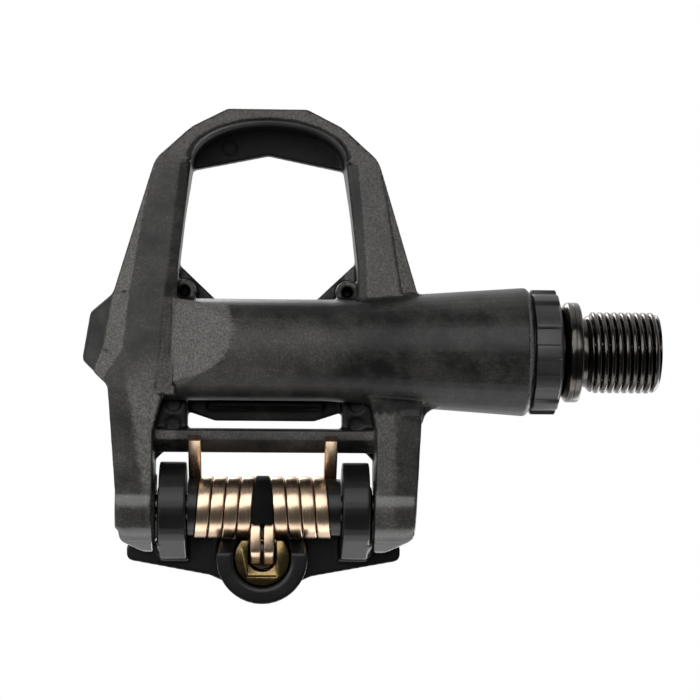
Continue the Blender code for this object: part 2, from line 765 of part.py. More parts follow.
def platform_outline():
    """The cleat platform in plan: gussets in front, a tapered lip behind and the wing outboard."""
    lip = PLATFORM_REAR_HALF + PLATFORM_TAPER
    half = [
        (PLATFORM_FRONT_HALF, PLATFORM_FRONT),
        (WINDOW_REAR_HALF, WINDOW_REAR_Y),
        (WINDOW_REAR_HALF + PLATFORM_ROOT, WINDOW_REAR_Y),
        (WAIST_HALF - PLATFORM_INSET, WAIST_Y + PLATFORM_INSET),
    ]
    rear = [
        (EAR_INNER, PLATFORM_CORNER_Y),
        (lip, PLATFORM_REAR - PLATFORM_TAPER / 3),
        (PLATFORM_REAR_HALF, PLATFORM_REAR),
    ]
    right = half + [(HIP_HALF - PLATFORM_INSET, PLATFORM_SIDE_Y)] + rear
    left = half + [
        (WING_HALF - WING_LEAN - PLATFORM_INSET, WING_FRONT + PLATFORM_INSET),
        (WING_HALF - PLATFORM_INSET, WING_FRONT + WING_CORNER - GAP),
        (HIP_HALF - PLATFORM_INSET, WING_REAR - 2 * GAP),
    ]
    return right + [(-x, y) for x, y in reversed(left + rear)]


def leg_line():
    """Where the outer spring leg leaves the coil, and its direction, in (y, z)."""
    leaves = Vector((math.cos(OUTER_LEG_ANGLE), math.sin(OUTER_LEG_ANGLE)))
    heading = Vector((-leaves.y, leaves.x))
    return Vector((PIN_Y, PIN_Z)) + SPRING_RADIUS * leaves, heading


def crossbar_profile():
    """The bar that the springs push on: its rear underside lies along the outer legs, as (y, z)."""
    start, heading = leg_line()
    normal = Vector((heading.y, -heading.x))
    start = start + normal * (WIRE_THICKNESS / 2 + GAP)

    def height(y):
        return start.y + (y - start.x) * heading.y / heading.x

    bevel = CROSSBAR_FRONT + 0.4 * CROSSBAR_DEPTH
    low = height(bevel)
    top = low + CROSSBAR_HEIGHT
    return [(CROSSBAR_FRONT, low), (bevel, low), (BAY_FRONT, height(BAY_FRONT)), (BAY_FRONT, top), (CROSSBAR_FRONT, top)]


def cut_strips(body):
    """The sloping strips along the outer underside edges of both arms, and the steeper one along the wing."""

    def height(y):
        if y < WAIST_Y:
            return SHOULDER_BOTTOM + (WAIST_BOTTOM - SHOULDER_BOTTOM) * (y - SHOULDER_Y) / (WAIST_Y - SHOULDER_Y)
        return WAIST_BOTTOM + (ARM_BOTTOM - WAIST_BOTTOM) * (y - WAIST_Y) / (WING_REAR - WAIST_Y)

    share = (STRIP_START_Y - SHOULDER_Y) / (WAIST_Y - SHOULDER_Y)
    outer = SHOULDER_HALF + (WAIST_HALF - SHOULDER_HALF) * share
    waist = WAIST_HALF - STRIP_WIDTH
    for sign, side in ((1, "crank"), (-1, "outboard")):
        first = (sign * (outer - STRIP_START), STRIP_START_Y, height(STRIP_START_Y))
        last = (sign * waist, WAIST_Y, WAIST_BOTTOM)
        facet(body, f"arm_strip_{side}", first, last, (sign, 0, 0), STRIP_SLOPE)
    flared = waist + STRIP_FLARE
    turn = (-flared, STRIP_TURN_Y, height(STRIP_TURN_Y))
    facet(body, "wing_strip", (-waist, WAIST_Y, WAIST_BOTTOM), turn, (-1, 0, 0), STRIP_SLOPE)
    run = Vector((-HIP_HALF, STRIP_END_Y, height(STRIP_END_Y))) - Vector(turn)
    facet(body, "strip_end", turn, Vector(turn) + 2 * run, (-1, 0, 0), STRIP_SLOPE)
    rise = WING_STRIP * math.tan(STRIP_SLOPE)
    wing_front = (-waist - STRIP_WIDTH, WAIST_Y, WAIST_BOTTOM + STRIP_WIDTH * math.tan(STRIP_SLOPE))
    wing_rear = (-flared - WING_STRIP, STRIP_TURN_Y, turn[2] + rise)
    reach = Vector(wing_rear) - Vector(wing_front)
    facet(body, "wing_slope", wing_front, Vector(wing_front) + 2 * reach, (-1, 0, 0), WING_SLOPE)


def make_body():
    ear_end = PIN_Y + EAR_REACH
    outline = rounded(side_outline(1) + list(reversed(side_outline(-1))))
    body = keep(middle_prism("pedal_body", outline, -BODY_REACH, BODY_REACH), NYLON)
    intersect(body, prism("side_view", frame_profile(), MIDDLE - 2 * WING_HALF, MIDDLE + 2 * WING_HALF, "X"))
    bay = [(EAR_INNER, BAY_FRONT - CROSSBAR_DEPTH), (EAR_INNER, 2 * ear_end)]
    window = [
        (WINDOW_FRONT_HALF, HOOK_END_Y),
        (WINDOW_REAR_HALF, WINDOW_REAR_Y),
        (WINDOW_REAR_HALF + WINDOW_FLARE, 0),
    ]
    right = [(x + WINDOW_OFFSET, y) for x, y in window] + bay
    left = [(x - WINDOW_OFFSET, y) for x, y in window] + bay
    opening = [(WINDOW_OFFSET, HOOK_APEX_Y)] + right + [(-x, y) for x, y in reversed(left)]
    cut(body, middle_prism("window_and_bay", opening, -2 * BODY_REACH, 2 * BODY_REACH))
    arch = []
    for i in range(1, 9):
        angle = math.pi / 2 * i / 9
        depth = (SHOULDER_Y - NOSE_Y - ARCH_WALL) * math.cos(angle)
        arch.append((WINDOW_FRONT_HALF * math.sin(angle), SHOULDER_Y - depth))
    arch += [(WINDOW_FRONT_HALF, SHOULDER_Y), (WINDOW_FRONT_HALF, SHOULDER_Y / 2)]
    pocket = [(x + WINDOW_OFFSET, y) for x, y in mirrored(arch) + [(0, NOSE_Y + ARCH_WALL)]]
    cut(body, middle_prism("hook_pocket", pocket, -2 * BODY_REACH, HOOK_UNDERSIDE))
    cut_strips(body)
    join(body, middle_prism("platform", platform_outline(), PLATFORM_TOP - PLATFORM_THICKNESS, PLATFORM_TOP))
    join(body, make_tube())
    reach = EAR_INNER + EAR_THICKNESS_OUTBOARD / 3
    join(body, prism("cross_bar", crossbar_profile(), MIDDLE - reach, MIDDLE + reach, "X"))
    for sign, side in ((1, "crank"), (-1, "outboard")):
        edges = sorted((MIDDLE + sign * WEB_HALF, MIDDLE + sign * reach))
        low = (edges[0], WEB_FRONT, WEB_BOTTOM)
        join(body, box(f"web_{side}", low, (edges[1], BAY_FRONT - WEB_INSET, WEB_TOP)))
        corner = [
            (sign * (EAR_INNER - BAY_CORNER), BAY_FRONT - WEB_INSET),
            (sign * reach, BAY_FRONT - WEB_INSET),
            (sign * reach, BAY_FRONT + BAY_CORNER),
            (sign * EAR_INNER, BAY_FRONT + BAY_CORNER),
            (sign * (EAR_INNER - BAY_CORNER), BAY_FRONT),
        ]
        join(body, middle_prism(f"bay_corner_{side}", corner, WEB_BOTTOM, WEB_TOP))
        place = (MIDDLE + sign * BOSS_HALF, BOSS_Y)
        roof = PLATFORM_TOP - PLATFORM_THICKNESS
        join(body, cylinder(f"post_{side}", BOSS_HOLE_RADIUS + BOSS_WALL, BOSS_BOTTOM, roof + GAP, place, steps=16))
        cut(body, cylinder(f"post_hole_{side}", BOSS_HOLE_RADIUS, 2 * WAIST_BOTTOM, roof, place, steps=12))
    bore = [
        (0, 0),
        (0, BEARING_SEAT),
        (BEARING_BACK - GAP, BEARING_SEAT),
        (BEARING_BACK - GAP, CUP_SEAT),
        (BORE_END, CUP_SEAT),
        (BORE_END, 0),
    ]
    cut(body, turned("spindle_bore", bore, 40))
    half = 2 * (EAR_INNER + EAR_THICKNESS_CRANK)
    cut(body, cylinder("pin_holes", PIN_RADIUS + FIT, MIDDLE - half, MIDDLE + half, (PIN_Y, PIN_Z), "X", 24))
    return body


# Latch pin, sleeves and springs


def make_pin():
    ends = [MIDDLE + sign * (EAR_INNER + ear_thickness(sign) - 4 * GAP) for sign in (-1, 1)]
    return keep(cylinder("latch_pin", PIN_RADIUS, *ends, (PIN_Y, PIN_Z), "X", 24), BLACK_STEEL)


def make_sleeve(name, sign):
    ends = sorted((CORE + sign * FIT / 2, MIDDLE + sign * (CHEEK_INNER - GAP)))
    sleeve = ring(name, ends[1], ends[0], SLEEVE_BORE, SLEEVE_RADIUS, 24)
    sleeve.location = (0, PIN_Y, PIN_Z)
    return keep(sleeve, LATCH_BLACK)


def spring_path(sign):
    """The wire's middle line from the nut to the cross bar, as (x from the core, y, z) about the pin."""
    bend = WIRE_THICKNESS
    points = [(SPRING_LEG_INNER, SPRING_RADIUS + INNER_LEG_REACH, -INNER_LEG_DROP)]
    for y, z in arc((SPRING_RADIUS + bend, bend - INNER_LEG_DROP), bend, 1.5 * math.pi, math.pi, 4):
        points.append((SPRING_LEG_INNER, y, z))
    sweep = math.tau * SPRING_BANDS + OUTER_LEG_ANGLE
    steps = int(SPRING_BANDS * 18 + 6)
    for i in range(steps + 1):
        angle = sweep * i / steps
        along = SPRING_LEG_INNER + SPRING_PITCH * angle / math.tau
        points.append((along, SPRING_RADIUS * math.cos(angle), SPRING_RADIUS * math.sin(angle)))
    start, heading = leg_line()
    tip = start + heading * OUTER_LEG_LENGTH - Vector((PIN_Y, PIN_Z))
    points.append((along, tip.x, tip.y))
    return [(sign * x, y, z) for x, y, z in points]


def make_spring(name, sign):
    """A torsion spring of flat wire, wound about the latch pin."""
    section = bpy.data.curves.new(f"{name}_section", "CURVE")
    section.dimensions = "2D"
    corners = section.splines.new("POLY")
    corners.points.add(3)
    half_width, half_thickness = WIRE_WIDTH / 2, WIRE_THICKNESS / 2
    for point, (x, y) in zip(corners.points, ((-1, -1), (1, -1), (1, 1), (-1, 1))):
        point.co = (x * half_thickness, y * half_width, 0, 1)
    corners.use_cyclic_u = True
    section_object = helper(bpy.data.objects.new(f"{name}_section", section))
    curve = bpy.data.curves.new(name, "CURVE")
    curve.dimensions = "3D"
    curve.twist_mode = "Z_UP"
    curve.bevel_mode = "OBJECT"
    curve.bevel_object = section_object
    curve.use_fill_caps = True
    path = spring_path(sign)
    spline = curve.splines.new("POLY")
    spline.points.add(len(path) - 1)
    for point, (x, y, z) in zip(spline.points, path):
        point.co = (-z, y, x, 1)
    spring = as_mesh(bpy.data.objects.new(name, curve))
    spring.rotation_euler = (0, math.pi / 2, 0)
    spring.location = (CORE, PIN_Y, PIN_Z)
    return keep(spring, SPRING_BRONZE)


# Latch with its tension screw and nut


def cheek_outline():
    """Side view of a latch cheek, as (y, z): round under the pin, then up to the plate behind it."""
    around = arc((PIN_Y, PIN_Z), CHEEK_RADIUS, math.radians(150), math.radians(312), 18)
    return around + [
        (PIN_Y + CHEEK_RADIUS + CHEEK_TOE, PIN_Z + CHEEK_TOE),
        (PIN_Y + CHEEK_RADIUS + CHEEK_HEEL, PLATE_BOTTOM),
        (PIN_Y + CHEEK_RADIUS + CHEEK_HEEL, PLATE_TOP - GAP),
        (PIN_Y - CHEEK_RADIUS / 3, PLATE_TOP - GAP),
    ]


def skirt_outline():
    """Side view of the thin skirt that fills the space between a cheek and its ear, as (y, z)."""
    around = arc((PIN_Y, PIN_Z), SKIRT_RADIUS, math.pi, 1.5 * math.pi, 6)
    return around + [
        (PIN_Y + CHEEK_RADIUS - CHEEK_TOE, PIN_Z - SKIRT_RADIUS),
        (PIN_Y + CHEEK_RADIUS + CHEEK_TOE, PLATE_BOTTOM),
        (PIN_Y + CHEEK_RADIUS + CHEEK_TOE, PLATE_TOP - 2 * GAP),
        (PIN_Y - SKIRT_RADIUS / 2, PLATE_TOP - 2 * GAP),
    ]


def plate_outline():
    """The latch's plate in plan: cheeks, wing tips and the run down to the screw boss."""
    tip_front = PIN_Y + EAR_REACH - LATCH_WING_INSET
    half = rounded(
        [
            (CHEEK_OUTER - GAP, CLAW_FRONT + GAP),
            (CHEEK_OUTER - GAP, tip_front - GAP),
            (LATCH_WING_HALF, tip_front, CORNER_ROUND),
            (LATCH_WING_HALF, tip_front + LATCH_WING_DEPTH, CORNER_ROUND),
            (CHEEK_INNER, SCREW_Y + PLATE_REAR),
            (SCREW_BOSS_RADIUS * PLATE_BOSS_SHARE, SCREW_Y + PLATE_BOSS_REAR),
        ]
    )
    return mirrored(half)


def make_latch():
    latch = middle_prism("latch", plate_outline(), PLATE_BOTTOM, PLATE_TOP)
    keep(latch, LATCH_BLACK)
    for sign, side in ((1, "crank"), (-1, "outboard")):
        edges = sorted((MIDDLE + sign * CHEEK_INNER, MIDDLE + sign * CHEEK_OUTER))
        join(latch, prism(f"cheek_{side}", cheek_outline(), *edges, "X"))
        edges = sorted((MIDDLE + sign * (CHEEK_OUTER - GAP), MIDDLE + sign * (CHEEK_OUTER + SKIRT_THICKNESS)))
        join(latch, prism(f"skirt_{side}", skirt_outline(), *edges, "X"))
    claw = [
        (CLAW_FRONT, PLATE_BOTTOM + GAP),
        (CLAW_REAR, PLATE_BOTTOM + GAP),
        (CLAW_REAR, CLAW_TOP - CLAW_CHAMFER),
        (CLAW_REAR - CLAW_CHAMFER, CLAW_TOP),
        (CLAW_FRONT - CLAW_LIP, CLAW_TOP),
        (CLAW_FRONT - CLAW_LIP, CLAW_TOP - CLAW_LIP_THICKNESS),
        (CLAW_FRONT, CLAW_TOP - 2 * CLAW_LIP_THICKNESS),
    ]
    join(latch, prism("claw", claw, MIDDLE - CLAW_HALF, MIDDLE + CLAW_HALF, "X"))
    screw_axis = (CORE, SCREW_Y)
    join(latch, cylinder("screw_boss", SCREW_BOSS_RADIUS, SCREW_BOSS_BOTTOM, SCREW_SEAT_TOP, screw_axis))
    half = CHEEK_INNER - 2 * GAP
    cut(latch, cylinder("spring_pocket", POCKET_RADIUS, MIDDLE - half, MIDDLE + half, (PIN_Y, PIN_Z), "X"))
    front = (MIDDLE - half, PIN_Y, 2 * SCREW_BOSS_BOTTOM)
    cut(latch, box("pocket_mouth", front, (MIDDLE + half, PIN_Y + POCKET_RADIUS, PIN_Z)))
    cut(latch, cylinder("nut_bore", NUT_BORE, 2 * SCREW_BOSS_BOTTOM, NUT_BORE_TOP, screw_axis, steps=32))
    cut(latch, cylinder("screw_hole", SCREW_RADIUS + GAP, 0, 2 * SCREW_SEAT_TOP, screw_axis, steps=24))
    half = 2 * CHEEK_OUTER
    cut(latch, cylinder("latch_pin_hole", PIN_RADIUS + FIT, MIDDLE - half, MIDDLE + half, (PIN_Y, PIN_Z), "X", 24))
    return latch


def make_tension_screw():
    head = SCREW_SEAT_TOP + GAP
    top = head + SCREW_HEAD_HEIGHT
    groove = SCREW_RADIUS - SCREW_GROOVE
    profile = [
        (top, 0),
        (top, SCREW_HEAD_RADIUS - GAP),
        (top - GAP, SCREW_HEAD_RADIUS),
        (head, SCREW_HEAD_RADIUS),
        (head, SCREW_RADIUS),
        (CLIP_TOP + FIT, SCREW_RADIUS),
        (CLIP_TOP + FIT, groove),
        (CLIP_BOTTOM - FIT, groove),
        (CLIP_BOTTOM - FIT, SCREW_RADIUS),
        (SLOT_ROOF + GAP, SCREW_RADIUS),
        (SLOT_ROOF + GAP, 0),
    ]
    screw = keep(turned("tension_screw", profile, 24, axis="Z"), BLACK_STEEL)
    screw.location = (CORE, SCREW_Y, 0)
    depth = SCREW_HEX_SHARE * SCREW_HEAD_HEIGHT
    cut(screw, cylinder("screw_hex", SCREW_HEX / math.sqrt(3), top - depth, 2 * top, (CORE, SCREW_Y), steps=6))
    clip_profile = [
        (CLIP_TOP, groove + FIT),
        (CLIP_TOP, SCREW_HEAD_RADIUS),
        (CLIP_BOTTOM, SCREW_HEAD_RADIUS),
        (CLIP_BOTTOM, groove + FIT),
    ]
    clip = keep(turned("screw_clip", clip_profile, SMALL_ROUND, closed=True, axis="Z"), BEARING_STEEL)
    clip.location = (CORE, SCREW_Y, 0)
    return [screw, clip]


def make_nut():
    axis = (CORE, SCREW_Y)
    nut = keep(cylinder("tension_nut", NUT_RADIUS, NUT_BOTTOM, NUT_TOP, axis, steps=32), NUT_BRONZE)
    reach = 2 * NUT_RADIUS
    front = (CORE - reach, SCREW_Y - 2 * reach, -reach)
    cut(nut, box("nut_front", front, (CORE + reach, PIN_Y + NUT_FRONT, reach)))
    slot_end = SCREW_Y + NUT_RADIUS - NUT_SLOT_WALL
    slot = (CORE - NUT_SLOT / 2, SCREW_Y - reach, -reach)
    cut(nut, box("nut_slot", slot, (CORE + NUT_SLOT / 2, slot_end, SLOT_ROOF)))
    cut(nut, cylinder("nut_thread", SCREW_RADIUS + FIT, -reach, reach, axis, steps=24))
    return nut


def assemble():
    pedal_axis = pivot("pedal_axis", (0, 0, 0))
    ball_axis = pivot("ball_axis", (BALL_X, 0, 0))
    needle_axis = pivot("needle_axis", (NEEDLE_X, 0, 0))
    latch_axis = pivot("latch_axis", (MIDDLE, PIN_Y, PIN_Z), pedal_axis)
    screw_axis = pivot("screw_axis", (CORE, SCREW_Y, SCREW_SEAT_TOP), latch_axis)
    make_spindle()
    inner_race, outer_race, shield, ball_set = make_ball_bearing()
    cup, needle_set = make_needle_bearing()
    lock, seal = make_lock_ring()
    turning = [make_body(), lock, seal, outer_race, shield, cup, make_pin()]
    for sign, side in ((1, "crank"), (-1, "outboard")):
        turning.append(make_sleeve(f"spring_sleeve_{side}", sign))
        turning.append(make_spring(f"spring_{side}", sign))
    for piece in turning:
        hang(piece, pedal_axis)
    for piece in ball_set:
        hang(piece, ball_axis)
    for piece in needle_set:
        hang(piece, needle_axis)
    hang(make_latch(), latch_axis)
    for piece in make_tension_screw() + [make_nut()]:
        hang(piece, screw_axis)
    bpy.context.view_layer.update()


assemble()
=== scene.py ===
# %% [markdown]
# # Dressing a road pedal
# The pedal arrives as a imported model: plain, exact solids, already in place and in metres. This lesson gives them
# the surfaces that the real one has. Nothing is moved. A solid either keeps its shape and gets a finish, or a finer
# piece stands for it and rides on the same moving body.

import json
import math

import bmesh
import bpy
from mathutils import Matrix, Vector


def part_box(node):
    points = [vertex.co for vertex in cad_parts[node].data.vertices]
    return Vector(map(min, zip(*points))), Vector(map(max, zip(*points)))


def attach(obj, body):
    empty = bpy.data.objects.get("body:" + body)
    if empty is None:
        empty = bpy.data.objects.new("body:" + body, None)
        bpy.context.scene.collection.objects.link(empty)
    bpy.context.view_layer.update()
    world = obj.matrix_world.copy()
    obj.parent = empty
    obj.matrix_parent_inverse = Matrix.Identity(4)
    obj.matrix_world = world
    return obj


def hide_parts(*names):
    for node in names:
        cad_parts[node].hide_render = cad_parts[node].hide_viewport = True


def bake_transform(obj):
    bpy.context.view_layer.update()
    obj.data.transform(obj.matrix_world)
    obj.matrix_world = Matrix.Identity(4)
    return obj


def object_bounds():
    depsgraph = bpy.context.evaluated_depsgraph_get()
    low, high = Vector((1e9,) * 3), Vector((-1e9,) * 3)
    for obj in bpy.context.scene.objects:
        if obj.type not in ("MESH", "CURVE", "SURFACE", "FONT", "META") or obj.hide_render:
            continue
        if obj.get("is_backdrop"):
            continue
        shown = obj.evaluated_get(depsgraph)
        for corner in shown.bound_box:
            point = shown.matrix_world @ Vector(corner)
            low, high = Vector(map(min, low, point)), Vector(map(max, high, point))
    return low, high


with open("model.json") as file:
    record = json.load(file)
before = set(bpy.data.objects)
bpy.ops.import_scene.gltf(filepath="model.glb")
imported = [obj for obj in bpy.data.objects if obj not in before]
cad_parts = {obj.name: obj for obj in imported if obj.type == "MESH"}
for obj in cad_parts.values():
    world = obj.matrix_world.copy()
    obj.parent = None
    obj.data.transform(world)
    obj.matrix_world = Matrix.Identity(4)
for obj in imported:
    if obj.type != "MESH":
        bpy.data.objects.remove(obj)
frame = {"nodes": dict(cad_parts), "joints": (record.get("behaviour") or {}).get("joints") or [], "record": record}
CAD_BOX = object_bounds()
MM = 0.001
JOINTS = {joint["name"]: joint for joint in frame["joints"]}

# %% [markdown]
# ## The camera
# The photograph looks at the underside with the nose up and the thread to the right. The known thread diameter
# gives the scale, and the way deep parts shift against near ones gives the distance: about 380 mm, a short way off
# for something 100 mm long. The camera is built from those few numbers, and the pixel where the crank shoulder's
# centre falls in the picture then places it.

# %% Place the camera
IMAGE_SIDE = 700
FOCAL_PIXELS = 2158.3
SENSOR = 36.0
CAMERA_DISTANCE = 380 * MM
CAMERA_YAW = math.radians(2.4)
CAMERA_ROLL = math.radians(0.5)
SHOULDER_PIXEL = (577.5, 352.6)


def placed(name, data):
    """A new object in the scene, made of a mesh, a curve, a lamp or a camera."""
    made = bpy.data.objects.new(name, data)
    bpy.context.scene.collection.objects.link(made)
    return made


def photo_camera():
    forward = Vector((math.sin(CAMERA_YAW), 0, math.cos(CAMERA_YAW)))
    level_right = forward.cross(Vector((0, -1, 0))).normalized()
    level_up = level_right.cross(forward)
    right = math.cos(CAMERA_ROLL) * level_right + math.sin(CAMERA_ROLL) * level_up
    up = math.cos(CAMERA_ROLL) * level_up - math.sin(CAMERA_ROLL) * level_right
    aside = (SHOULDER_PIXEL[0] - IMAGE_SIDE / 2) / FOCAL_PIXELS
    above = (IMAGE_SIDE / 2 - SHOULDER_PIXEL[1]) / FOCAL_PIXELS
    place = -(forward + aside * right + above * up) * CAMERA_DISTANCE
    data = bpy.data.cameras.new("photo_camera")
    data.sensor_width = SENSOR
    data.lens = SENSOR * FOCAL_PIXELS / IMAGE_SIDE
    data.clip_start = 10 * MM
    data.clip_end = 20
    camera = placed("photo_camera", data)
    turn = Matrix((right, up, -forward)).transposed().to_4x4()
    camera.matrix_world = Matrix.Translation(place) @ turn
    return camera


bpy.context.scene.camera = photo_camera()
print("camera at", [round(v, 4) for v in bpy.context.scene.camera.location])

# %% [markdown]
# ## A studio of light
# The background is pure white and the pedal throws no shadow on it, so the white is the world itself, as a camera
# sees it. Metal sees it too, except straight below, where the photographer's dark side of the room lets springs and
# thread show their form. A pale floor lies under the pedal for every view from above, and it shows from above only,
# because the photograph looks up through it. Two soft lamps below light what the photograph shows, a low card
# behind the heel draws the bright bands on the springs and the ears, and two lamps above light the side for the
# shoe.

# %% World, lamps and floor
bpy.context.scene.view_settings.view_transform = "Standard"
ROOM_FILL = 0.08
DARK_SIDE = 0.06
DARK_UP_TO, BRIGHT_FROM = -0.45, 0.15
FLOOR_GREY = 0.86
FLOOR_REACH = 3.0
FLOOR_DROP = 0.5 * MM


def connect(tree, source, target):
    """Joins an output to an input, or sets the input to a plain value."""
    if isinstance(source, bpy.types.NodeSocket):
        tree.links.new(source, target)
    else:
        target.default_value = source


def add(tree, kind, inputs=None):
    """A new node whose inputs, by name or number, are joined or set."""
    node = tree.nodes.new(kind)
    for label, value in (inputs or {}).items():
        connect(tree, value, node.inputs[label])
    return node


def math_node(tree, operation, first, second, clamp=False):
    node = add(tree, "ShaderNodeMath", {0: first, 1: second})
    node.operation = operation
    node.use_clamp = clamp
    return node.outputs[0]


def white_world():
    world = bpy.data.worlds.new("white_room")
    bpy.context.scene.world = world
    world.use_nodes = True
    tree = world.node_tree
    rays = add(tree, "ShaderNodeLightPath").outputs
    direction = add(tree, "ShaderNodeTexCoord").outputs["Generated"]
    height = add(tree, "ShaderNodeSeparateXYZ", {0: direction}).outputs["Z"]
    ramp = {"Value": height, "From Min": DARK_UP_TO, "From Max": BRIGHT_FROM, "To Min": DARK_SIDE}
    room = add(tree, "ShaderNodeMapRange", ramp).outputs["Result"]
    seen = math_node(tree, "MAXIMUM", rays["Is Camera Ray"], rays["Is Transmission Ray"])
    mirrored = add(tree, "ShaderNodeMix", {"Factor": rays["Is Glossy Ray"], "A": ROOM_FILL, "B": room})
    level = add(tree, "ShaderNodeMix", {"Factor": seen, "A": mirrored.outputs["Result"], "B": 1.0})
    background = tree.nodes["Background"].inputs
    background["Color"].default_value = (1, 1, 1, 1)
    connect(tree, level.outputs["Result"], background["Strength"])


def softbox(name, place, size, watts, target):
    data = bpy.data.lights.new(name, "AREA")
    data.shape = "RECTANGLE"
    data.size, data.size_y = size
    data.energy = watts
    lamp = placed(name, data)
    aim = (Vector(target) - Vector(place)).to_track_quat("-Z", "Y")
    lamp.matrix_world = Matrix.Translation(place) @ aim.to_matrix().to_4x4()
    return lamp


def floor_finish():
    material = bpy.data.materials.new("pale_floor")
    material.use_nodes = True
    tree = material.node_tree
    shader = tree.nodes["Principled BSDF"]
    shader.inputs["Base Color"].default_value = (FLOOR_GREY, FLOOR_GREY, FLOOR_GREY, 1)
    shader.inputs["Roughness"].default_value = 0.9
    clear = add(tree, "ShaderNodeBsdfTransparent").outputs[0]
    seen = add(tree, "ShaderNodeLightPath").outputs["Is Camera Ray"]
    behind = add(tree, "ShaderNodeNewGeometry").outputs["Backfacing"]
    front = math_node(tree, "SUBTRACT", seen, behind, clamp=True)
    mix = add(tree, "ShaderNodeMixShader", {"Fac": front})
    connect(tree, clear, mix.inputs[1])
    connect(tree, shader.outputs[0], mix.inputs[2])
    connect(tree, mix.outputs[0], tree.nodes["Material Output"].inputs["Surface"])
    return material


def pale_floor():
    mesh = bpy.data.meshes.new("floor")
    shape = bmesh.new()
    bmesh.ops.create_grid(shape, x_segments=1, y_segments=1, size=FLOOR_REACH)
    shape.to_mesh(mesh)
    shape.free()
    mesh.transform(Matrix.Translation((0, 0, CAD_BOX[0].z - FLOOR_DROP)))
    mesh.materials.append(floor_finish())
    floor = placed("floor", mesh)
    floor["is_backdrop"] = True


white_world()
MIDDLE = JOINTS["latch_pivot"]["pos_m"][0]
SUBJECT = (0.75 * MIDDLE, 0, 0)
softbox("window_below", (-0.10, -0.21, -0.43), (0.46, 0.40), 1.45, SUBJECT)
softbox("side_below", (-0.46, -0.12, -0.30), (0.24, 0.24), 0.85, SUBJECT)
softbox("rear_card", (-0.05, 0.40, -0.06), (0.50, 0.22), 0.6, SUBJECT)
softbox("window_above", (-0.22, -0.30, 0.46), (0.34, 0.26), 1.7, SUBJECT)
softbox("sweep_above", (0.26, 0.32, 0.36), (0.40, 0.24), 1.0, SUBJECT)
pale_floor()

# %% [markdown]
# ## Shared surface effects
# Two families of finish cover the pedal: moulded plastic and worked metal. Each is a node group with its own
# inputs, built once. The moulding group gives clouds from the flow of the melt, fine glass-fibre flecks and a faint
# grain. The metal group gives drawn or turned streaks along an axis and a soft tarnish. Both read Object
# coordinates, which are real metres here, so a scale of 1000 makes features about a millimetre wide.

# %% Node group helpers


def new_group(name, inputs, outputs):
    """An empty shader group with named float, vector or colour sockets."""
    group = bpy.data.node_groups.new(name, "ShaderNodeTree")
    for label, kind, value in inputs:
        socket = group.interface.new_socket(label, in_out="INPUT", socket_type=f"NodeSocket{kind}")
        if value is not None:
            socket.default_value = value
    for label, kind in outputs:
        group.interface.new_socket(label, in_out="OUTPUT", socket_type=f"NodeSocket{kind}")
    return group, add(group, "NodeGroupInput").outputs, add(group, "NodeGroupOutput").inputs


def noise(tree, vector, scale, detail=3.0, roughness=0.55):
    inputs = {"Vector": vector, "Scale": scale, "Detail": detail, "Roughness": roughness}
    return add(tree, "ShaderNodeTexNoise", inputs).outputs["Fac"]


def contrast(tree, value, low, high):
    inputs = {"Value": value, "From Min": low, "From Max": high}
    return add(tree, "ShaderNodeMapRange", inputs).outputs["Result"]


def between(tree, low, high, share):
    """A value that runs from low to high as share runs from 0 to 1."""
    run = math_node(tree, "SUBTRACT", high, low)
    return math_node(tree, "ADD", low, math_node(tree, "MULTIPLY", run, share))


def tint(tree, factor, first, second):
    node = add(tree, "ShaderNodeMix")
    node.data_type = "RGBA"
    connect(tree, factor, node.inputs["Factor"])
    for socket, value in ((node.inputs[6], first), (node.inputs[7], second)):
        connect(tree, (*value, 1.0) if isinstance(value, tuple) else value, socket)
    return node.outputs[2]


# %% The moulding group
PIT_BLACK = (0.008, 0.008, 0.008)


def moulding_group():
    group, given, made = new_group(
        "moulded_surface",
        [
            ("Vector", "Vector", None),
            ("Texture", "Float", 0.3),
            ("Smooth", "Color", (0.02, 0.02, 0.02, 1)),
            ("Grained", "Color", (0.06, 0.06, 0.06, 1)),
            ("Fleck", "Color", (0.14, 0.14, 0.13, 1)),
            ("Cloud Scale", "Float", 150.0),
            ("Cloud Amount", "Float", 0.4),
            ("Grain Scale", "Float", 2600.0),
            ("Grain Amount", "Float", 0.5),
            ("Roughness Low", "Float", 0.4),
            ("Roughness High", "Float", 0.65),
        ],
        [("Color", "Color"), ("Roughness", "Float"), ("Height", "Float")],
    )
    place = given["Vector"]
    clouds = contrast(group, noise(group, place, given["Cloud Scale"], 5, 0.6), 0.30, 0.70)
    grain = contrast(group, noise(group, place, given["Grain Scale"], 2, 0.6), 0.30, 0.70)
    drift = math_node(group, "MULTIPLY", math_node(group, "SUBTRACT", clouds, 0.5), given["Cloud Amount"])
    worn = math_node(group, "ADD", given["Texture"], drift, clamp=True)
    base = tint(group, worn, given["Smooth"], given["Grained"])
    depth = math_node(group, "MULTIPLY", math_node(group, "ADD", worn, 0.06), given["Grain Amount"])
    bright = math_node(group, "MULTIPLY", math_node(group, "POWER", grain, 3.0), depth)
    hollows = math_node(group, "POWER", math_node(group, "SUBTRACT", 1.0, grain), 2.0)
    pits = math_node(group, "MULTIPLY", hollows, depth)
    speckled = tint(group, bright, base, given["Fleck"])
    connect(group, tint(group, pits, speckled, PIT_BLACK), made["Color"])
    rough = between(group, given["Roughness Low"], given["Roughness High"], worn)
    connect(group, rough, made["Roughness"])
    etched = math_node(group, "ADD", math_node(group, "MULTIPLY", worn, 0.8), 0.2)
    connect(group, math_node(group, "MULTIPLY", grain, etched), made["Height"])
    return group


MOULDING = moulding_group()
print("group:", MOULDING.name, [s.name for s in MOULDING.interface.items_tree])

# %% The metal group


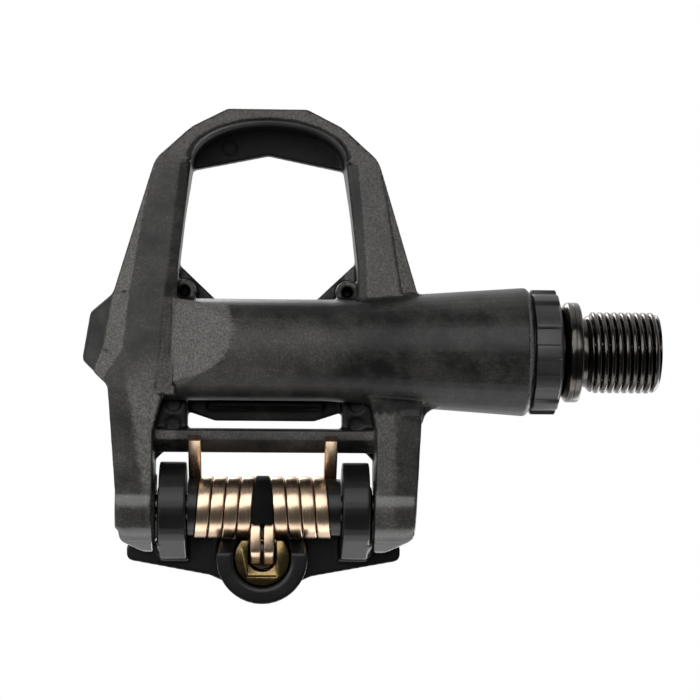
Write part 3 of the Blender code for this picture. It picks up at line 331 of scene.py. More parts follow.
def metal_group():
    group, given, made = new_group(
        "worked_metal",
        [
            ("Vector", "Vector", None),
            ("Stretch", "Vector", (1.0, 1.0, 1.0)),
            ("Bright", "Color", (0.6, 0.6, 0.6, 1)),
            ("Tarnish", "Color", (0.4, 0.4, 0.4, 1)),
            ("Streak Scale", "Float", 4000.0),
            ("Tarnish Scale", "Float", 300.0),
            ("Roughness Low", "Float", 0.18),
            ("Roughness High", "Float", 0.34),
        ],
        [("Color", "Color"), ("Roughness", "Float"), ("Height", "Float")],
    )
    stretched = add(group, "ShaderNodeVectorMath", {0: given["Vector"], 1: given["Stretch"]})
    stretched.operation = "MULTIPLY"
    streaks = contrast(group, noise(group, stretched.outputs[0], given["Streak Scale"], 2), 0.3, 0.7)
    stain = contrast(group, noise(group, given["Vector"], given["Tarnish Scale"], 4), 0.38, 0.72)
    connect(group, tint(group, stain, given["Bright"], given["Tarnish"]), made["Color"])
    brushed = math_node(group, "MULTIPLY", streaks, 0.6)
    worn = math_node(group, "ADD", brushed, math_node(group, "MULTIPLY", stain, 0.4))
    rough = between(group, given["Roughness Low"], given["Roughness High"], worn)
    connect(group, rough, made["Roughness"])
    connect(group, streaks, made["Height"])
    return group


METAL = metal_group()
print("group:", METAL.name, [s.name for s in METAL.interface.items_tree])

# %% [markdown]
# ## The finishes
# Each finish places one of the two groups and sets its colours and scales. The body is a charcoal nylon with glass
# fibre, pale where its mould was etched to a grain and black where it was smooth, and the mesh itself will say
# where;
# the same values also carry painted shade in some hollows and painted light on some faces. The latch and the lock
# ring are smoother and blacker. The axle is polished black steel, the springs are drawn flat wire with a bronze
# coat, and the nut has a golden plating.

# %% Make the finishes
RELIEF_HEIGHT = 0.05 * MM
POLISH_SMOOTHS = 0.5
POLISH_COATS = 0.8


def grey(level):
    return level, level, level


def finish(name, group, bump, roughness, values, specular=0.5):
    """One of the two groups with its own values, feeding a plain shader."""
    material = bpy.data.materials.new(f"{name}_finish")
    material.use_nodes = True
    tree = material.node_tree
    shader = tree.nodes["Principled BSDF"].inputs
    shader["Metallic"].default_value = 1.0 if group == METAL else 0.0
    shader["Specular IOR Level"].default_value = specular
    effect = add(tree, "ShaderNodeGroup")
    effect.name = "effect"
    effect.node_tree = group
    connect(tree, add(tree, "ShaderNodeTexCoord").outputs["Object"], effect.inputs["Vector"])
    values["Roughness Low"], values["Roughness High"] = roughness
    for label, value in values.items():
        socket = effect.inputs[label]
        socket.default_value = (*value, 1.0) if socket.type == "RGBA" else value
    connect(tree, effect.outputs["Color"], shader["Base Color"])
    connect(tree, effect.outputs["Roughness"], shader["Roughness"])
    relief = {"Strength": bump, "Distance": RELIEF_HEIGHT, "Height": effect.outputs["Height"]}
    connect(tree, add(tree, "ShaderNodeBump", relief).outputs["Normal"], shader["Normal"])
    return material


def zoned(material):
    """Lets a moulding's own attributes say where its mould was etched, where it was polished, and where shade and
    light are painted on it.
    """
    tree = material.node_tree
    shader = tree.nodes["Principled BSDF"]
    effect = tree.nodes["effect"]
    grain_and_painted_light, polished = add(tree, "ShaderNodeAttribute"), add(tree, "ShaderNodeAttribute")
    grain_and_painted_light.attribute_name, polished.attribute_name = "grain_and_painted_light", "polished"
    connect(tree, grain_and_painted_light.outputs["Fac"], effect.inputs["Texture"])
    kept = math_node(tree, "SUBTRACT", 1.0, math_node(tree, "MULTIPLY", polished.outputs["Fac"], POLISH_SMOOTHS))
    connect(tree, math_node(tree, "MULTIPLY", effect.outputs["Roughness"], kept), shader.inputs["Roughness"])
    gloss = math_node(tree, "MULTIPLY", polished.outputs["Fac"], POLISH_COATS, clamp=True)
    connect(tree, gloss, shader.inputs["Coat Weight"])
    shader.inputs["Coat Roughness"].default_value = 0.24
    return material


# The smooth black is near black partly as the smooth moulding's own colour and partly as painted shade: the hollows
# that take it read as shaded.
FIBRE_NYLON = zoned(finish("fibre_nylon", MOULDING, 0.5, (0.40, 0.66), {
    "Smooth": (0.006, 0.006, 0.0058),
    "Grained": (0.150, 0.145, 0.136),
    "Fleck": (0.24, 0.23, 0.215),
    "Cloud Scale": 190.0,
    "Cloud Amount": 0.30,
    "Grain Scale": 2800.0,
    "Grain Amount": 0.6,
}, specular=0.24))
LATCH_NYLON = finish("latch_black", MOULDING, 0.15, (0.30, 0.46), {
    "Texture": 0.3,
    "Smooth": grey(0.004),
    "Grained": grey(0.012),
    "Fleck": grey(0.04),
    "Cloud Scale": 220.0,
    "Grain Scale": 3800.0,
    "Grain Amount": 0.3,
}, specular=0.36)
RING_PLASTIC = finish("ring_black", MOULDING, 0.2, (0.34, 0.5), {
    "Texture": 0.4,
    "Smooth": grey(0.016),
    "Grained": (0.036, 0.035, 0.034),
    "Fleck": grey(0.07),
    "Cloud Scale": 300.0,
    "Grain Scale": 3600.0,
    "Grain Amount": 0.4,
})
SEAL_RUBBER = finish("seal_rubber", MOULDING, 0.3, (0.6, 0.8), {
    "Texture": 0.5,
    "Smooth": grey(0.003),
    "Grained": grey(0.008),
    "Fleck": grey(0.012),
    "Cloud Scale": 400.0,
    "Grain Scale": 3000.0,
    "Grain Amount": 0.2,
}, specular=0.06)
BLACK_STEEL = finish("black_steel", METAL, 0.05, (0.14, 0.26), {
    "Stretch": (1.0, 0.08, 0.08),
    "Bright": (0.085, 0.080, 0.074),
    "Tarnish": (0.045, 0.041, 0.037),
})
BEARING_STEEL = finish("bearing_steel", METAL, 0.04, (0.14, 0.26), {
    "Stretch": (1.0, 0.08, 0.08),
    "Bright": (0.60, 0.60, 0.61),
    "Tarnish": (0.50, 0.50, 0.52),
})
SPRING_BRONZE = finish("spring_bronze", METAL, 0.05, (0.25, 0.34), {
    "Stretch": (1.0, 0.06, 0.06),
    "Bright": (0.70, 0.53, 0.38),
    "Tarnish": (0.60, 0.43, 0.30),
    "Streak Scale": 3200.0,
})
NUT_BRONZE = finish("nut_bronze", METAL, 0.08, (0.16, 0.30), {
    "Stretch": (1.0, 1.0, 0.1),
    "Bright": (0.24, 0.17, 0.075),
    "Tarnish": (0.08, 0.055, 0.028),
    "Tarnish Scale": 600.0,
})
print("finishes:", [m.name for m in bpy.data.materials if m.use_nodes])

# %% [markdown]
# ## Tools for pieces
# A few small tools serve the rest. One copies a solid of the frame and welds it, one turns a modifier stack into a
# plain mesh, some make a skin from sections or a tool shape from its corners, and one softens a solid the way an
# injection mould does: every edge gets a small even round. The voxel remesh makes an even skin first, so the
# smoothing rounds all edges alike, and a decimation then thins flat areas.

# %% Piece helpers


def piece_of(shape, name):
    mesh = bpy.data.meshes.new(name)
    shape.to_mesh(mesh)
    shape.free()
    return placed(name, mesh)


def settle(piece):
    """Replaces the piece's mesh by what its modifiers make of it."""
    bpy.context.view_layer.update()
    graph = bpy.context.evaluated_depsgraph_get()
    mesh = bpy.data.meshes.new_from_object(piece.evaluated_get(graph))
    mesh.name = piece.name
    piece.modifiers.clear()
    if piece.type != "MESH":
        name = piece.name
        bpy.data.objects.remove(piece, do_unlink=True)
        return placed(name, mesh)
    piece.data = mesh
    return piece


def welded_copy(node, name):
    """A copy of a frame solid whose loose triangles are joined."""
    mesh = frame["nodes"][node].data.copy()
    mesh.materials.clear()
    shape = bmesh.new()
    shape.from_mesh(mesh)
    bmesh.ops.remove_doubles(shape, verts=shape.verts, dist=0.001 * MM)
    bmesh.ops.dissolve_limit(shape, angle_limit=math.radians(0.4), verts=shape.verts, edges=shape.edges)
    shape.to_mesh(mesh)
    shape.free()
    return placed(name, mesh)


def shade(piece, angle=None):
    piece.data.shade_smooth()
    if angle:
        piece.data.set_sharp_from_angle(angle=math.radians(angle))
    return piece


def coat(piece, material):
    piece.data.materials.clear()
    piece.data.materials.append(material)


def dress(piece, material, body, *nodes):
    """Gives a finished piece its material, its moving body and the frame nodes that it stands for."""
    coat(piece, material)
    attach(piece, body)
    if nodes:
        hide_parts(*nodes)
    triangles = sum(len(face.vertices) - 2 for face in piece.data.polygons)
    print(f"{piece.name}: {triangles} triangles on {body}")
    return piece


def without_crumbs(piece):
    """Keeps the largest connected part of a mesh, because cutting can leave specks beside it."""
    shape = bmesh.new()
    shape.from_mesh(piece.data)
    waiting = set(shape.verts)
    parts = []
    while waiting:
        front = [waiting.pop()]
        part = set(front)
        while front:
            for edge in front.pop().link_edges:
                for vert in edge.verts:
                    if vert in waiting:
                        waiting.remove(vert)
                        part.add(vert)
                        front.append(vert)
        parts.append(part)
    largest = max(parts, key=len)
    crumbs = [vert for vert in shape.verts if vert not in largest]
    bmesh.ops.delete(shape, geom=crumbs, context="VERTS")
    shape.to_mesh(piece.data)
    shape.free()
    print(f"{piece.name}: {len(parts) - 1} crumbs removed")
    return piece


def moulded(piece, voxel, rounds, keep):
    """Rounds every edge of a solid as a mould does, and keeps a share of the triangles."""
    skin = piece.modifiers.new("skin", "REMESH")
    skin.mode = "VOXEL"
    skin.voxel_size = voxel
    skin.use_smooth_shade = True
    smooth = piece.modifiers.new("round", "SMOOTH")
    smooth.factor = 0.5
    smooth.iterations = rounds
    thin = piece.modifiers.new("thin", "DECIMATE")
    thin.ratio = keep
    return shade(without_crumbs(settle(piece)))


def bevelled(piece, width, segments=2, angle=30):
    edge = piece.modifiers.new("edge", "BEVEL")
    edge.width = width
    edge.segments = segments
    edge.limit_method = "ANGLE"
    edge.angle_limit = math.radians(angle)
    edge.harden_normals = False
    return shade(settle(piece), angle=50)


def revolved(name, profile, steps, radius_at=None, closed=False):
    """A skin turned about the spindle's axis from (place, radius) points, which a function may reshape by angle."""
    shape = bmesh.new()
    rings = []
    for place, radius in profile:
        circle = []
        for i in range(steps):
            angle = math.tau * i / steps
            reach = radius_at(place, radius, angle) if radius_at else radius
            circle.append(shape.verts.new((place, reach * math.cos(angle), reach * math.sin(angle))))
        rings.append(circle)
    if closed:
        rings.append(rings[0])
    for first, second in zip(rings, rings[1:]):
        for i in range(steps):
            j = (i + 1) % steps
            shape.faces.new((first[i], first[j], second[j], second[i]))
    bmesh.ops.remove_doubles(shape, verts=shape.verts, dist=0.0001 * MM)
    bmesh.ops.recalc_face_normals(shape, faces=shape.faces)
    return piece_of(shape, name)


def lofted(name, sections):
    """A closed skin over sections of equally many points, with both ends capped."""
    shape = bmesh.new()
    rows = [[shape.verts.new(point) for point in section] for section in sections]
    for first, second in zip(rows, rows[1:]):
        for i in range(len(first)):
            j = (i + 1) % len(first)
            shape.faces.new((first[i], first[j], second[j], second[i]))
    shape.faces.new(rows[0])
    shape.faces.new(reversed(rows[-1]))
    bmesh.ops.recalc_face_normals(shape, faces=shape.faces)
    return piece_of(shape, name)


def carve(piece, tool, operation="DIFFERENCE"):
    """Cuts or joins a tool shape, which is then removed."""
    step = piece.modifiers.new("carve", "BOOLEAN")
    step.operation = operation
    step.solver = "EXACT"
    step.object = tool
    settle(piece)
    bpy.data.objects.remove(tool, do_unlink=True)
    return piece


def cone(name, low_radius, high_radius, low, high, x, y, sides=32):
    """An upright cone or cylinder used as a cutting or joining tool."""
    shape = bmesh.new()
    place = Matrix.Translation((x, y, (low + high) / 2))
    bmesh.ops.create_cone(
        shape, cap_ends=True, segments=sides, radius1=low_radius, radius2=high_radius, depth=high - low,
        matrix=place,
    )
    return piece_of(shape, name)


def drum(name, radius, low, high, x, y, sides=32):
    return cone(name, radius, radius, low, high, x, y, sides)


def hull_tool(name, points):
    """A convex tool shape from its corners."""
    shape = bmesh.new()
    for point in points:
        shape.verts.new(point)
    bmesh.ops.convex_hull(shape, input=shape.verts)
    bmesh.ops.recalc_face_normals(shape, faces=shape.faces)
    return piece_of(shape, name)


print("tools ready")

# %% [markdown]
# ## The body
# The body is one injection moulding: two arms, the hooked nose, the spindle tube, the cleat platform and the ears.
# The solid already has those forms with sharp edges. The details that only a mould leaves come on top: chamfers
# along the arms and round the arch over the hook's pocket, a rib under the platform's rear edge, filled corners
# beside the tube, the swelling of the ears round the cross pin, and the round marks of the ejector pins. Places are
# given in millimetres, with x measured from the pedal's middle.

# %% Carve the body's details
PIN_Y, PIN_Z = (round(value / MM, 3) for value in JOINTS["latch_pivot"]["pos_m"][1:])
STRIP_OVERCUT, STRIP_DEPTH = 0.5, 2.0
STRIP_SPARE, STRIP_LIFT = 0.05, 0.02
ARCH_STEPS = 14
ARCH_SHIFT, ARCH_HALF = 0.3 * MM, 13.7 * MM
ARCH_FOOT, ARCH_RISE = -33.5 * MM, 7.0 * MM
ARCH_FOOT_HEIGHT = 2.2 * MM
ARCH_CHAMFER = 0.9 * MM
ARCH_OVERCUT, ARCH_DEPTH = 0.4 * MM, 3.0 * MM
NOSE_SLOPE = 2.5 / 9.2
DRUM_RADIUS = 6.6
SKEW_START, SKEW = 31.0, 1.4
LINER_OUTSIDE, EAR_INSIDE = 20.3, 18.85
LINER_RADIUS, LINER_TOP = 5.9, 4.0
LINER_ENDS = (-5.5, 5.8)
PAD_PLACE = (-6.6, -3.8, -8.19)
PAD_SLOPE_X, PAD_SLOPE_Y = -0.6, -0.3
TUBE_CORNER = (26.8, 9.2)
TUBE_ROUND_CENTRE, TUBE_ROUND = (29.9, 12.4), 2.4
TUBE_HEIGHTS = (-3.5, 3.0)


def spot(x, y, z):
    """The same place in metres."""
    return MIDDLE + x * MM, y * MM, z * MM


def block(low, high):
    """A plain block between two corners."""
    corners = [(x, y, z) for x in (low[0], high[0]) for y in (low[1], high[1]) for z in (low[2], high[2])]
    return hull_tool("block", [spot(*corner) for corner in corners])


def arm_strip(body, side, edge):
    """Takes a sloping strip off an arm's inner edge, given as (x, y, z, width, rise) points from front to rear."""
    for first, second in zip(edge, edge[1:]):
        corners = []
        for x, y, z, width, rise in (first, second):
            free, deep = side * (x - STRIP_OVERCUT), side * (x + width + STRIP_SPARE)
            corners += [
                spot(free, y, z - STRIP_DEPTH),
                spot(free, y, z + rise),
                spot(side * x, y, z + rise),
                spot(deep, y, z - STRIP_LIFT),
                spot(deep, y, z - STRIP_DEPTH),
            ]
        carve(body, hull_tool("arm_strip", corners))


def arch_band():
    """A wedge swept round the arch over the hook's pocket, which chamfers the rim's inner edge."""
    up = Vector((0, 0, 1))
    sections = []
    for i in range(-ARCH_STEPS, ARCH_STEPS + 1):
        angle = math.pi / 2 * i / ARCH_STEPS
        out = Vector((math.sin(angle), -math.cos(angle), 0))
        x = MIDDLE + ARCH_SHIFT + ARCH_HALF * math.sin(angle)
        y = ARCH_FOOT - ARCH_RISE * math.cos(angle)
        edge = Vector((x, y, NOSE_SLOPE * (ARCH_FOOT - y) + ARCH_FOOT_HEIGHT))
        free, deep = edge - ARCH_OVERCUT * out, edge + ARCH_CHAMFER * out
        sections.append((
            free - ARCH_DEPTH * up, free + ARCH_CHAMFER * up, edge + ARCH_CHAMFER * up, deep, deep - ARCH_DEPTH * up
        ))
    return lofted("arch_band", sections)


def round_pin(radius):
    """Places (y, z) on the lower arc round the cross pin."""
    tilts = [math.radians(-45 + 5 * i) for i in range(25)]
    return [(PIN_Y + radius * math.sin(tilt), PIN_Z - radius * math.cos(tilt)) for tilt in tilts]


def ear_drum(sign, inner, outer):
    """The swelling of an ear round the cross pin, kept inside the ear's plan, whose rear edge is skewed."""
    corners = []
    for y, z in round_pin(DRUM_RADIUS):
        skewed = outer - max(y - SKEW_START, 0) * SKEW
        for x in (inner, skewed):
            corners += [spot(sign * x, y, z), spot(sign * x, y, PIN_Z)]
    return hull_tool("ear_drum", corners)


def ear_liner():
    """The sloped inner side of the outboard ear, which closes the gap beside the latch's cheek."""
    corners = []
    for x, radius in ((-LINER_OUTSIDE, DRUM_RADIUS - 0.05), (-EAR_INSIDE, LINER_RADIUS)):
        corners += [spot(x, y, z) for y, z in round_pin(radius)]
        corners += [spot(x, PIN_Y + reach, LINER_TOP) for reach in LINER_ENDS]
    return hull_tool("ear_liner", corners)


def pad_corner():
    """Fills the crease between the outboard arm and the sloped pad on the tube's end, up to the pad's plane."""
    corners = []
    for x in (-16.0, -14.0):
        for y in (-8.5, 6.0):
            plane = PAD_PLACE[2] + PAD_SLOPE_X * (x - PAD_PLACE[0]) + PAD_SLOPE_Y * (y - PAD_PLACE[1])
            corners += [spot(x, y, plane), spot(x, y, 1.0)]
    return hull_tool("pad_corner", corners)


def tube_fillet():
    """The hollow round between the tube and the crank-side arm, in slices that share the corner."""
    x, y = TUBE_ROUND_CENTRE
    turns = [math.pi / 8 * i for i in range(5)]
    arc = [(x - TUBE_ROUND * math.cos(turn), y - TUBE_ROUND * math.sin(turn)) for turn in turns]
    for first, second in zip(arc, arc[1:]):
        plan = (TUBE_CORNER, first, second)
        yield hull_tool("tube_fillet", [spot(*place, z) for place in plan for z in TUBE_HEIGHTS])


PLATFORM_RIB = (-10.2, 9.3, 5.4), (10.2, 10.3, 6.9)
TUBE_LEDGE = (23.6, 10.9, -5.5), (27.2, 11.5, -4.6)
CRANK_EDGE = ((14.0, -33.2, 2.15, 2.2, 0.9), (15.9, -15.2, -1.41, 1.7, 0.8), (16.3, -8.5, -2.7, 1.3, 0.7))
OUTBOARD_EDGE = ((13.4, -33.2, 2.15, 1.9, 0.9), (15.3, -15.2, -1.41, 1.7, 0.8),
                 (15.4, 0, -4.1, 2.9, 1.1), (16.2, 8, -5.2, 3.2, 1.2))
EAR_SIDES = ((1, 19.0, 26.3), (-1, 19.6, 25.8))
EJECTOR_RADIUS, EJECTOR_DEPTH = 1.5 * MM, 0.25 * MM
POCKET_MARKS = [(sign * 16.1, y) for sign in (1, -1) for y in (9.6, 13.2)]
POCKET_FLOOR = 1.6 * MM
HOOK_MARK = (-6.8, -36.7)
HOOK_UNDERSIDE = 15.5 * MM
body = welded_copy("pedal_body", "body_moulding")
carve(body, block(*PLATFORM_RIB), "UNION")
carve(body, block(*TUBE_LEDGE), "UNION")
for fillet in tube_fillet():
    carve(body, fillet, "UNION")
arm_strip(body, 1, CRANK_EDGE)
arm_strip(body, -1, OUTBOARD_EDGE)
carve(body, arch_band())
carve(body, pad_corner(), "UNION")
for ear in EAR_SIDES:
    carve(body, ear_drum(*ear), "UNION")
carve(body, ear_liner(), "UNION")
for mark in POCKET_MARKS:
    x, y, low = spot(*mark, 0)
    carve(body, drum("ejector_mark", EJECTOR_RADIUS, low, POCKET_FLOOR + EJECTOR_DEPTH, x, y))
x, y, low = spot(*HOOK_MARK, 13)
carve(body, drum("ejector_mark", EJECTOR_RADIUS, low, HOOK_UNDERSIDE + EJECTOR_DEPTH, x, y))
print("body details carved")

# %% Round the body like a moulding
BODY_SKIN = 0.30 * MM
body = moulded(body, BODY_SKIN, rounds=4, keep=0.46)
print("body skin:", len(body.data.vertices), "points")

# %% [markdown]
# The mould was not the same all over. Its flats were etched to a fine grain that comes out paler, and the tube and
# the arms' middles were left smooth and darker. The same values also carry painted shade and painted light: the
# hook's pocket, the pocket behind the tube and a line along the crank-side arm are painted darker, and the tube's
# lowest strip, the crank-side arm's outer strip and the inward faces of the outboard ear are painted paler. The
# rule for each
# zone is a short one: a facet is known by the way it faces, and a patch by a line in the plan. The first zone that
# fits a point decides. The result is stored on the mesh as two attributes, and the finish reads them.

# %% Grain the flats, polish the heels, and paint light and shade
PAD_OUTLINE = [(-16.3, -8.9), (-9.2, -8.8), (-7.3, -8.2), (-6.3, -6.8), (-5.8, -4.6), (-5.8, -2.4), (-6.2, -0.4),
               (-7.2, 1.5), (-9.2, 3.2), (-12.0, 4.5), (-16.3, 5.7)]
FACES_DOWN, MOSTLY_DOWN = (0.84, 0.93), (0.55, 0.7)
FACES_ASIDE, STEEP = (0.26, 0.34), (0.56, 0.64)
EDGE_SHADE_STARTS, EDGE_SHADE_ENDS = (0.04, 0.12), (0.30, 0.38)
HEEL_RUN, NOSE_RUN = (22.5, 25.5), (-40, -28)
CRISP = (-0.3, 0.3)
A_TRACE = 0.02
NOSE_LINE, TUBE_FRONT, TUBE_REAR = -33.5, -9, 7


def ease(value, low, high):
    share = min(max((value - low) / (high - low), 0), 1)
    return share * share * (3 - 2 * share)


def inside(outline, x, y):
    """How far a place lies inside an outline that bulges everywhere, listed clockwise in the plan."""
    nearest = 1e9
    for (x0, y0), (x1, y1) in zip(outline, outline[1:] + outline[:1]):
        length = math.hypot(x1 - x0, y1 - y0)
        nearest = min(nearest, ((x1 - x0) * (y - y0) - (y1 - y0) * (x - x0)) / length)
    return nearest


def zone_values(point, facing):
    """How the moulding is etched, with painted shade and light, and how it is polished, at a point, from about 0 to
    1.
    """
    x, y, z = (point.x - MIDDLE) / MM, point.y / MM, point.z / MM
    crank_side = x > 0
    aside = facing.x if crank_side else -facing.x
    flat = ease(-facing.z, *FACES_DOWN)
    leaning = ease(aside, *FACES_ASIDE) * ease(-facing.z, *MOSTLY_DOWN)
    inward = ease(-aside, *FACES_ASIDE) * ease(-facing.z, *MOSTLY_DOWN)
    heel = ease(y, *HEEL_RUN)
    if facing.z > 0.2:  # the side for the shoe
        return 0.10 + 0.10 * ease(facing.z, 0.5, 0.9), 0.0
    # painted shade: the pocket behind the tube is held at the darkest black, for the shade that falls there
    if TUBE_REAR < y < 17 and abs(x) < 20.5 and z > -1.5:  # the rear pocket
        return -0.02, 0.0
    if z < 1 and facing.z < -0.4 and abs(y) < 10 and -17 < x < 0:
        pad = ease(inside(PAD_OUTLINE, x, y), -0.1, 0.15)
        if pad > 0:
            return 0.15 + 0.73 * pad, 0.0
    # painted shade: a dark line is painted along the edge between the crank-side arm's outer strip and its middle
    edge_shade = ease(facing.x, *EDGE_SHADE_STARTS) * (1 - ease(facing.x, *EDGE_SHADE_ENDS))
    if x > 20 and y < TUBE_FRONT and edge_shade > A_TRACE:  # the seam along the crank-side arm
        return 0.56 - 0.42 * edge_shade, 0.0
    # the outer strips are etched paler; on the crank side the strip is painted paler still, a painted light on a
    # face that leans away from the lamps; where a strip turns steep it is darker
    if abs(x) > 16.5 and leaning > A_TRACE and y < TUBE_REAR:  # the arms' outer strips
        return 0.12 + (1.35 if crank_side else 0.75) * leaning - 0.66 * ease(aside, *STEEP), 0.0
    # painted shade: inside the hook the colour is pushed to the darkest black, for the shade up in the pocket; its
    # second value makes it rougher
    if y < NOSE_LINE and z > 9:  # inside the hook
        return -0.2, -0.8
    if y < TUBE_FRONT and (abs(x) > 14 or y < NOSE_LINE):  # the arms and the nose
        nose = 1 - ease(y, *NOSE_RUN)
        level = 0.56 + 0.02 * nose if crank_side else 0.12 + 0.45 * nose
        return level * flat * (1 - inward) + (0.0 if crank_side else 0.12) * inward + 0.06, 0.0
    if x < -15.5:  # the outboard ear, with its grained wedge
        wedge = ease(x + 24.0 - 0.16 * (y - 5), *CRISP) * ease(y, 0, 9)
        grain_and_painted_light = 0.10 + 0.10 * flat + 0.68 * flat * wedge * (1 - 0.7 * heel)
        # painted light: the inward faces of the ear and its liner are painted paler away from the etched wedge,
        # where they sit in shade
        return grain_and_painted_light + 0.1 * heel + 0.3 * inward * (1 - wedge), heel
    if x > 18 and y > 11:  # the crank-side ear
        inner = ease(22.6 - x, *CRISP)
        return 0.14 + 0.42 * flat * inner * (1 - 0.5 * heel) + 0.12 * heel, heel
    if abs(y) < 12 and z < 4:  # the tube
        crankward = ease(x, 22, 32)
        # painted light: the tube's strip that faces mostly down is painted paler, fading out towards the crank end,
        # for the broad highlight along its middle
        lowest = ease(-facing.z, 0.65, 1.0)
        return 0.02 + 0.06 * crankward + 0.36 * lowest * ease(-x, -24, 2), 0.1 * crankward
    if y > 13 and z < 3:  # the cross bar
        return 0.02 + 0.36 * flat, 0.0
    return -0.05, 0.0


def zone_the_body(piece):
    """Stores both values on the points of the mesh."""
    values = [zone_values(point.co, point.normal) for point in piece.data.vertices]
    for column, label in enumerate(("grain_and_painted_light", "polished")):
        stored = piece.data.attributes.new(label, "FLOAT", "POINT")
        stored.data.foreach_set("value", [row[column] for row in values])


zone_the_body(body)
dress(body, FIBRE_NYLON, "pedal", "pedal_body")

# %% [markdown]
# ## The latch
# The latch is a second moulding, smoother and blacker than the body. It swings on the cross pin, hooks the cleat's
# rear tongue with its claw and carries the tension screw in a round boss. The boss gets a sunk rim, a sloping front
# and two fillets, and the outboard cheek is trimmed, to stay clear of its ear.

# %% Round the latch
CORE = JOINTS["screw_turn"]["pos_m"][0]
SCREW_Y = JOINTS["screw_turn"]["pos_m"][1]
BOSS_FACE = -3.5 * MM
RIM_RADII = 5.9 * MM, 4.8 * MM
RIM_HEIGHTS = BOSS_FACE - 0.45 * MM, BOSS_FACE + 0.6 * MM
BOSS_SLOPE = ((PIN_Y, -8.0), (35.3, -8.0), (35.3, -3.6), (33.5, 1.5), (PIN_Y, 1.5))
SLOPE_HALF = 9
FILLET_PLAN = ((9.2, 4.1), (5.4, 5.75), (6.0, 2.75))
FILLET_HEIGHTS = 8.1 * MM, 10.4 * MM
CHEEK_OUTSIDE = 18.65
CHEEK_TRIM = (-20.0, 18.0, -9.0), (-CHEEK_OUTSIDE, 38.0, 6.5)
LATCH_SKIN = 0.28 * MM
latch = welded_copy("latch", "latch_moulding")
carve(latch, cone("boss_rim", *RIM_RADII, *RIM_HEIGHTS, CORE, SCREW_Y))
slope = [(CORE + x * MM, y * MM, z * MM) for x in (-SLOPE_HALF, SLOPE_HALF) for y, z in BOSS_SLOPE]
carve(latch, hull_tool("boss_slope", slope))
for sign in (1, -1):
    corners = [(CORE + sign * x * MM, SCREW_Y + y * MM, z) for x, y in FILLET_PLAN for z in FILLET_HEIGHTS]
    carve(latch, hull_tool("boss_fillet", corners), "UNION")
carve(latch, block(*CHEEK_TRIM))
latch = moulded(latch, LATCH_SKIN, rounds=3, keep=0.7)
dress(latch, LATCH_NYLON, "latch", "latch")

# %% [markdown]
# ## The axle
# Only the crank end of the axle shows: the collar, an undercut and the thread. The solid has plain grooves, so the
# axle is turned again here with a true helix. The radius of each point depends on its place and its angle: the
# crest advances one pitch for each turn, to the right-hand rule, and fades out at both ends.

# %% Turn the axle
THREAD_PITCH = 1.27 * MM
THREAD_CREST = 7.14 * MM
THREAD_ROOT = 6.30 * MM
NECK = 6.05 * MM
NECK_END = 1.06 * MM
COLLAR = 8.8 * MM
COLLAR_WIDTH = 3.1 * MM
COLLAR_RIM = 1.2 * MM
SEAL_JOURNAL = 6.5 * MM
SHAFT = 4.8 * MM
AXLE_LOW, AXLE_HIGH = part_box("spindle")
THREAD_END = AXLE_HIGH.x
HEX_FLATS = 8.0 * MM
HEX_DEPTH = 8.5 * MM
THREAD_SAMPLES = 12


def thread_radius(place, radius, angle):
    """The helix, between the undercut and the end chamfer."""
    if place <= NECK_END or place >= THREAD_END:
        return radius
    phase = (place / THREAD_PITCH - angle / math.tau) % 1.0
    ridge = 1 - abs(2 * phase - 1) ** 3.2
    start = min((place - NECK_END) / THREAD_PITCH, 1)
    end = min((THREAD_END - place) / (0.9 * THREAD_PITCH), 1)
    fade = min(start, 0.35 + 0.65 * end)
    return NECK + (THREAD_ROOT - NECK) * start + (THREAD_CREST - THREAD_ROOT) * ridge * fade


def axle_profile():
    round_edge = 0.45 * MM
    points = [(THREAD_END, 0), (THREAD_END, THREAD_ROOT - 0.3 * MM)]
    count = round((THREAD_END - NECK_END) / THREAD_PITCH * THREAD_SAMPLES)
    for i in range(1, count):
        points.append((THREAD_END - (THREAD_END - NECK_END) * i / count, THREAD_ROOT))
    points += [(NECK_END, NECK), (0.25 * MM, NECK), (0, NECK + 0.25 * MM), (0, COLLAR - 1.0 * MM)]
    for i in range(5):
        angle = math.pi / 2 * i / 4
        points.append((-round_edge + round_edge * math.cos(angle), COLLAR - round_edge * (1 - math.sin(angle))))
    for step, drop in ((0.0, 0.0), (0.08, 0.12), (0.22, 0.12), (0.30, 0.0)):
        points.append((-COLLAR_RIM - step * MM, COLLAR - drop * MM))
    inner = COLLAR_WIDTH - 0.9 * MM
    points += [(-inner + 0.2 * MM, COLLAR), (-inner - 0.1 * MM, COLLAR - 0.15 * MM)]
    points += [(-COLLAR_WIDTH + 0.1 * MM, COLLAR - 1.1 * MM), (-COLLAR_WIDTH, COLLAR - 1.3 * MM)]
    points += [(-COLLAR_WIDTH, SEAL_JOURNAL)]
    return points


def shaft_profile():
    """The hidden run through the bearings, as the solid has it."""
    bearing_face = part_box("bearing_inner_race")[1].x
    bearing_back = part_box("bearing_inner_race")[0].x
    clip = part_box("spindle_circlip")
    groove = 4.37 * MM
    cup_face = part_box("needle_cup")[1].x
    journal = 4.0 * MM
    gap = 0.3 * MM
    seat = 4.9 * MM
    return [
        (bearing_face + gap, SEAL_JOURNAL),
        (bearing_face + gap, seat),
        (bearing_back - 0.2 * MM, seat),
        (clip[1].x + 0.1 * MM, groove),
        (clip[0].x - 0.1 * MM, groove),
        (clip[0].x - 0.1 * MM, SHAFT),
        (cup_face + 1.6 * MM, SHAFT),
        (cup_face + gap, journal),
        (AXLE_LOW.x + gap, journal),
        (AXLE_LOW.x, journal - gap),
        (AXLE_LOW.x, 0),
    ]


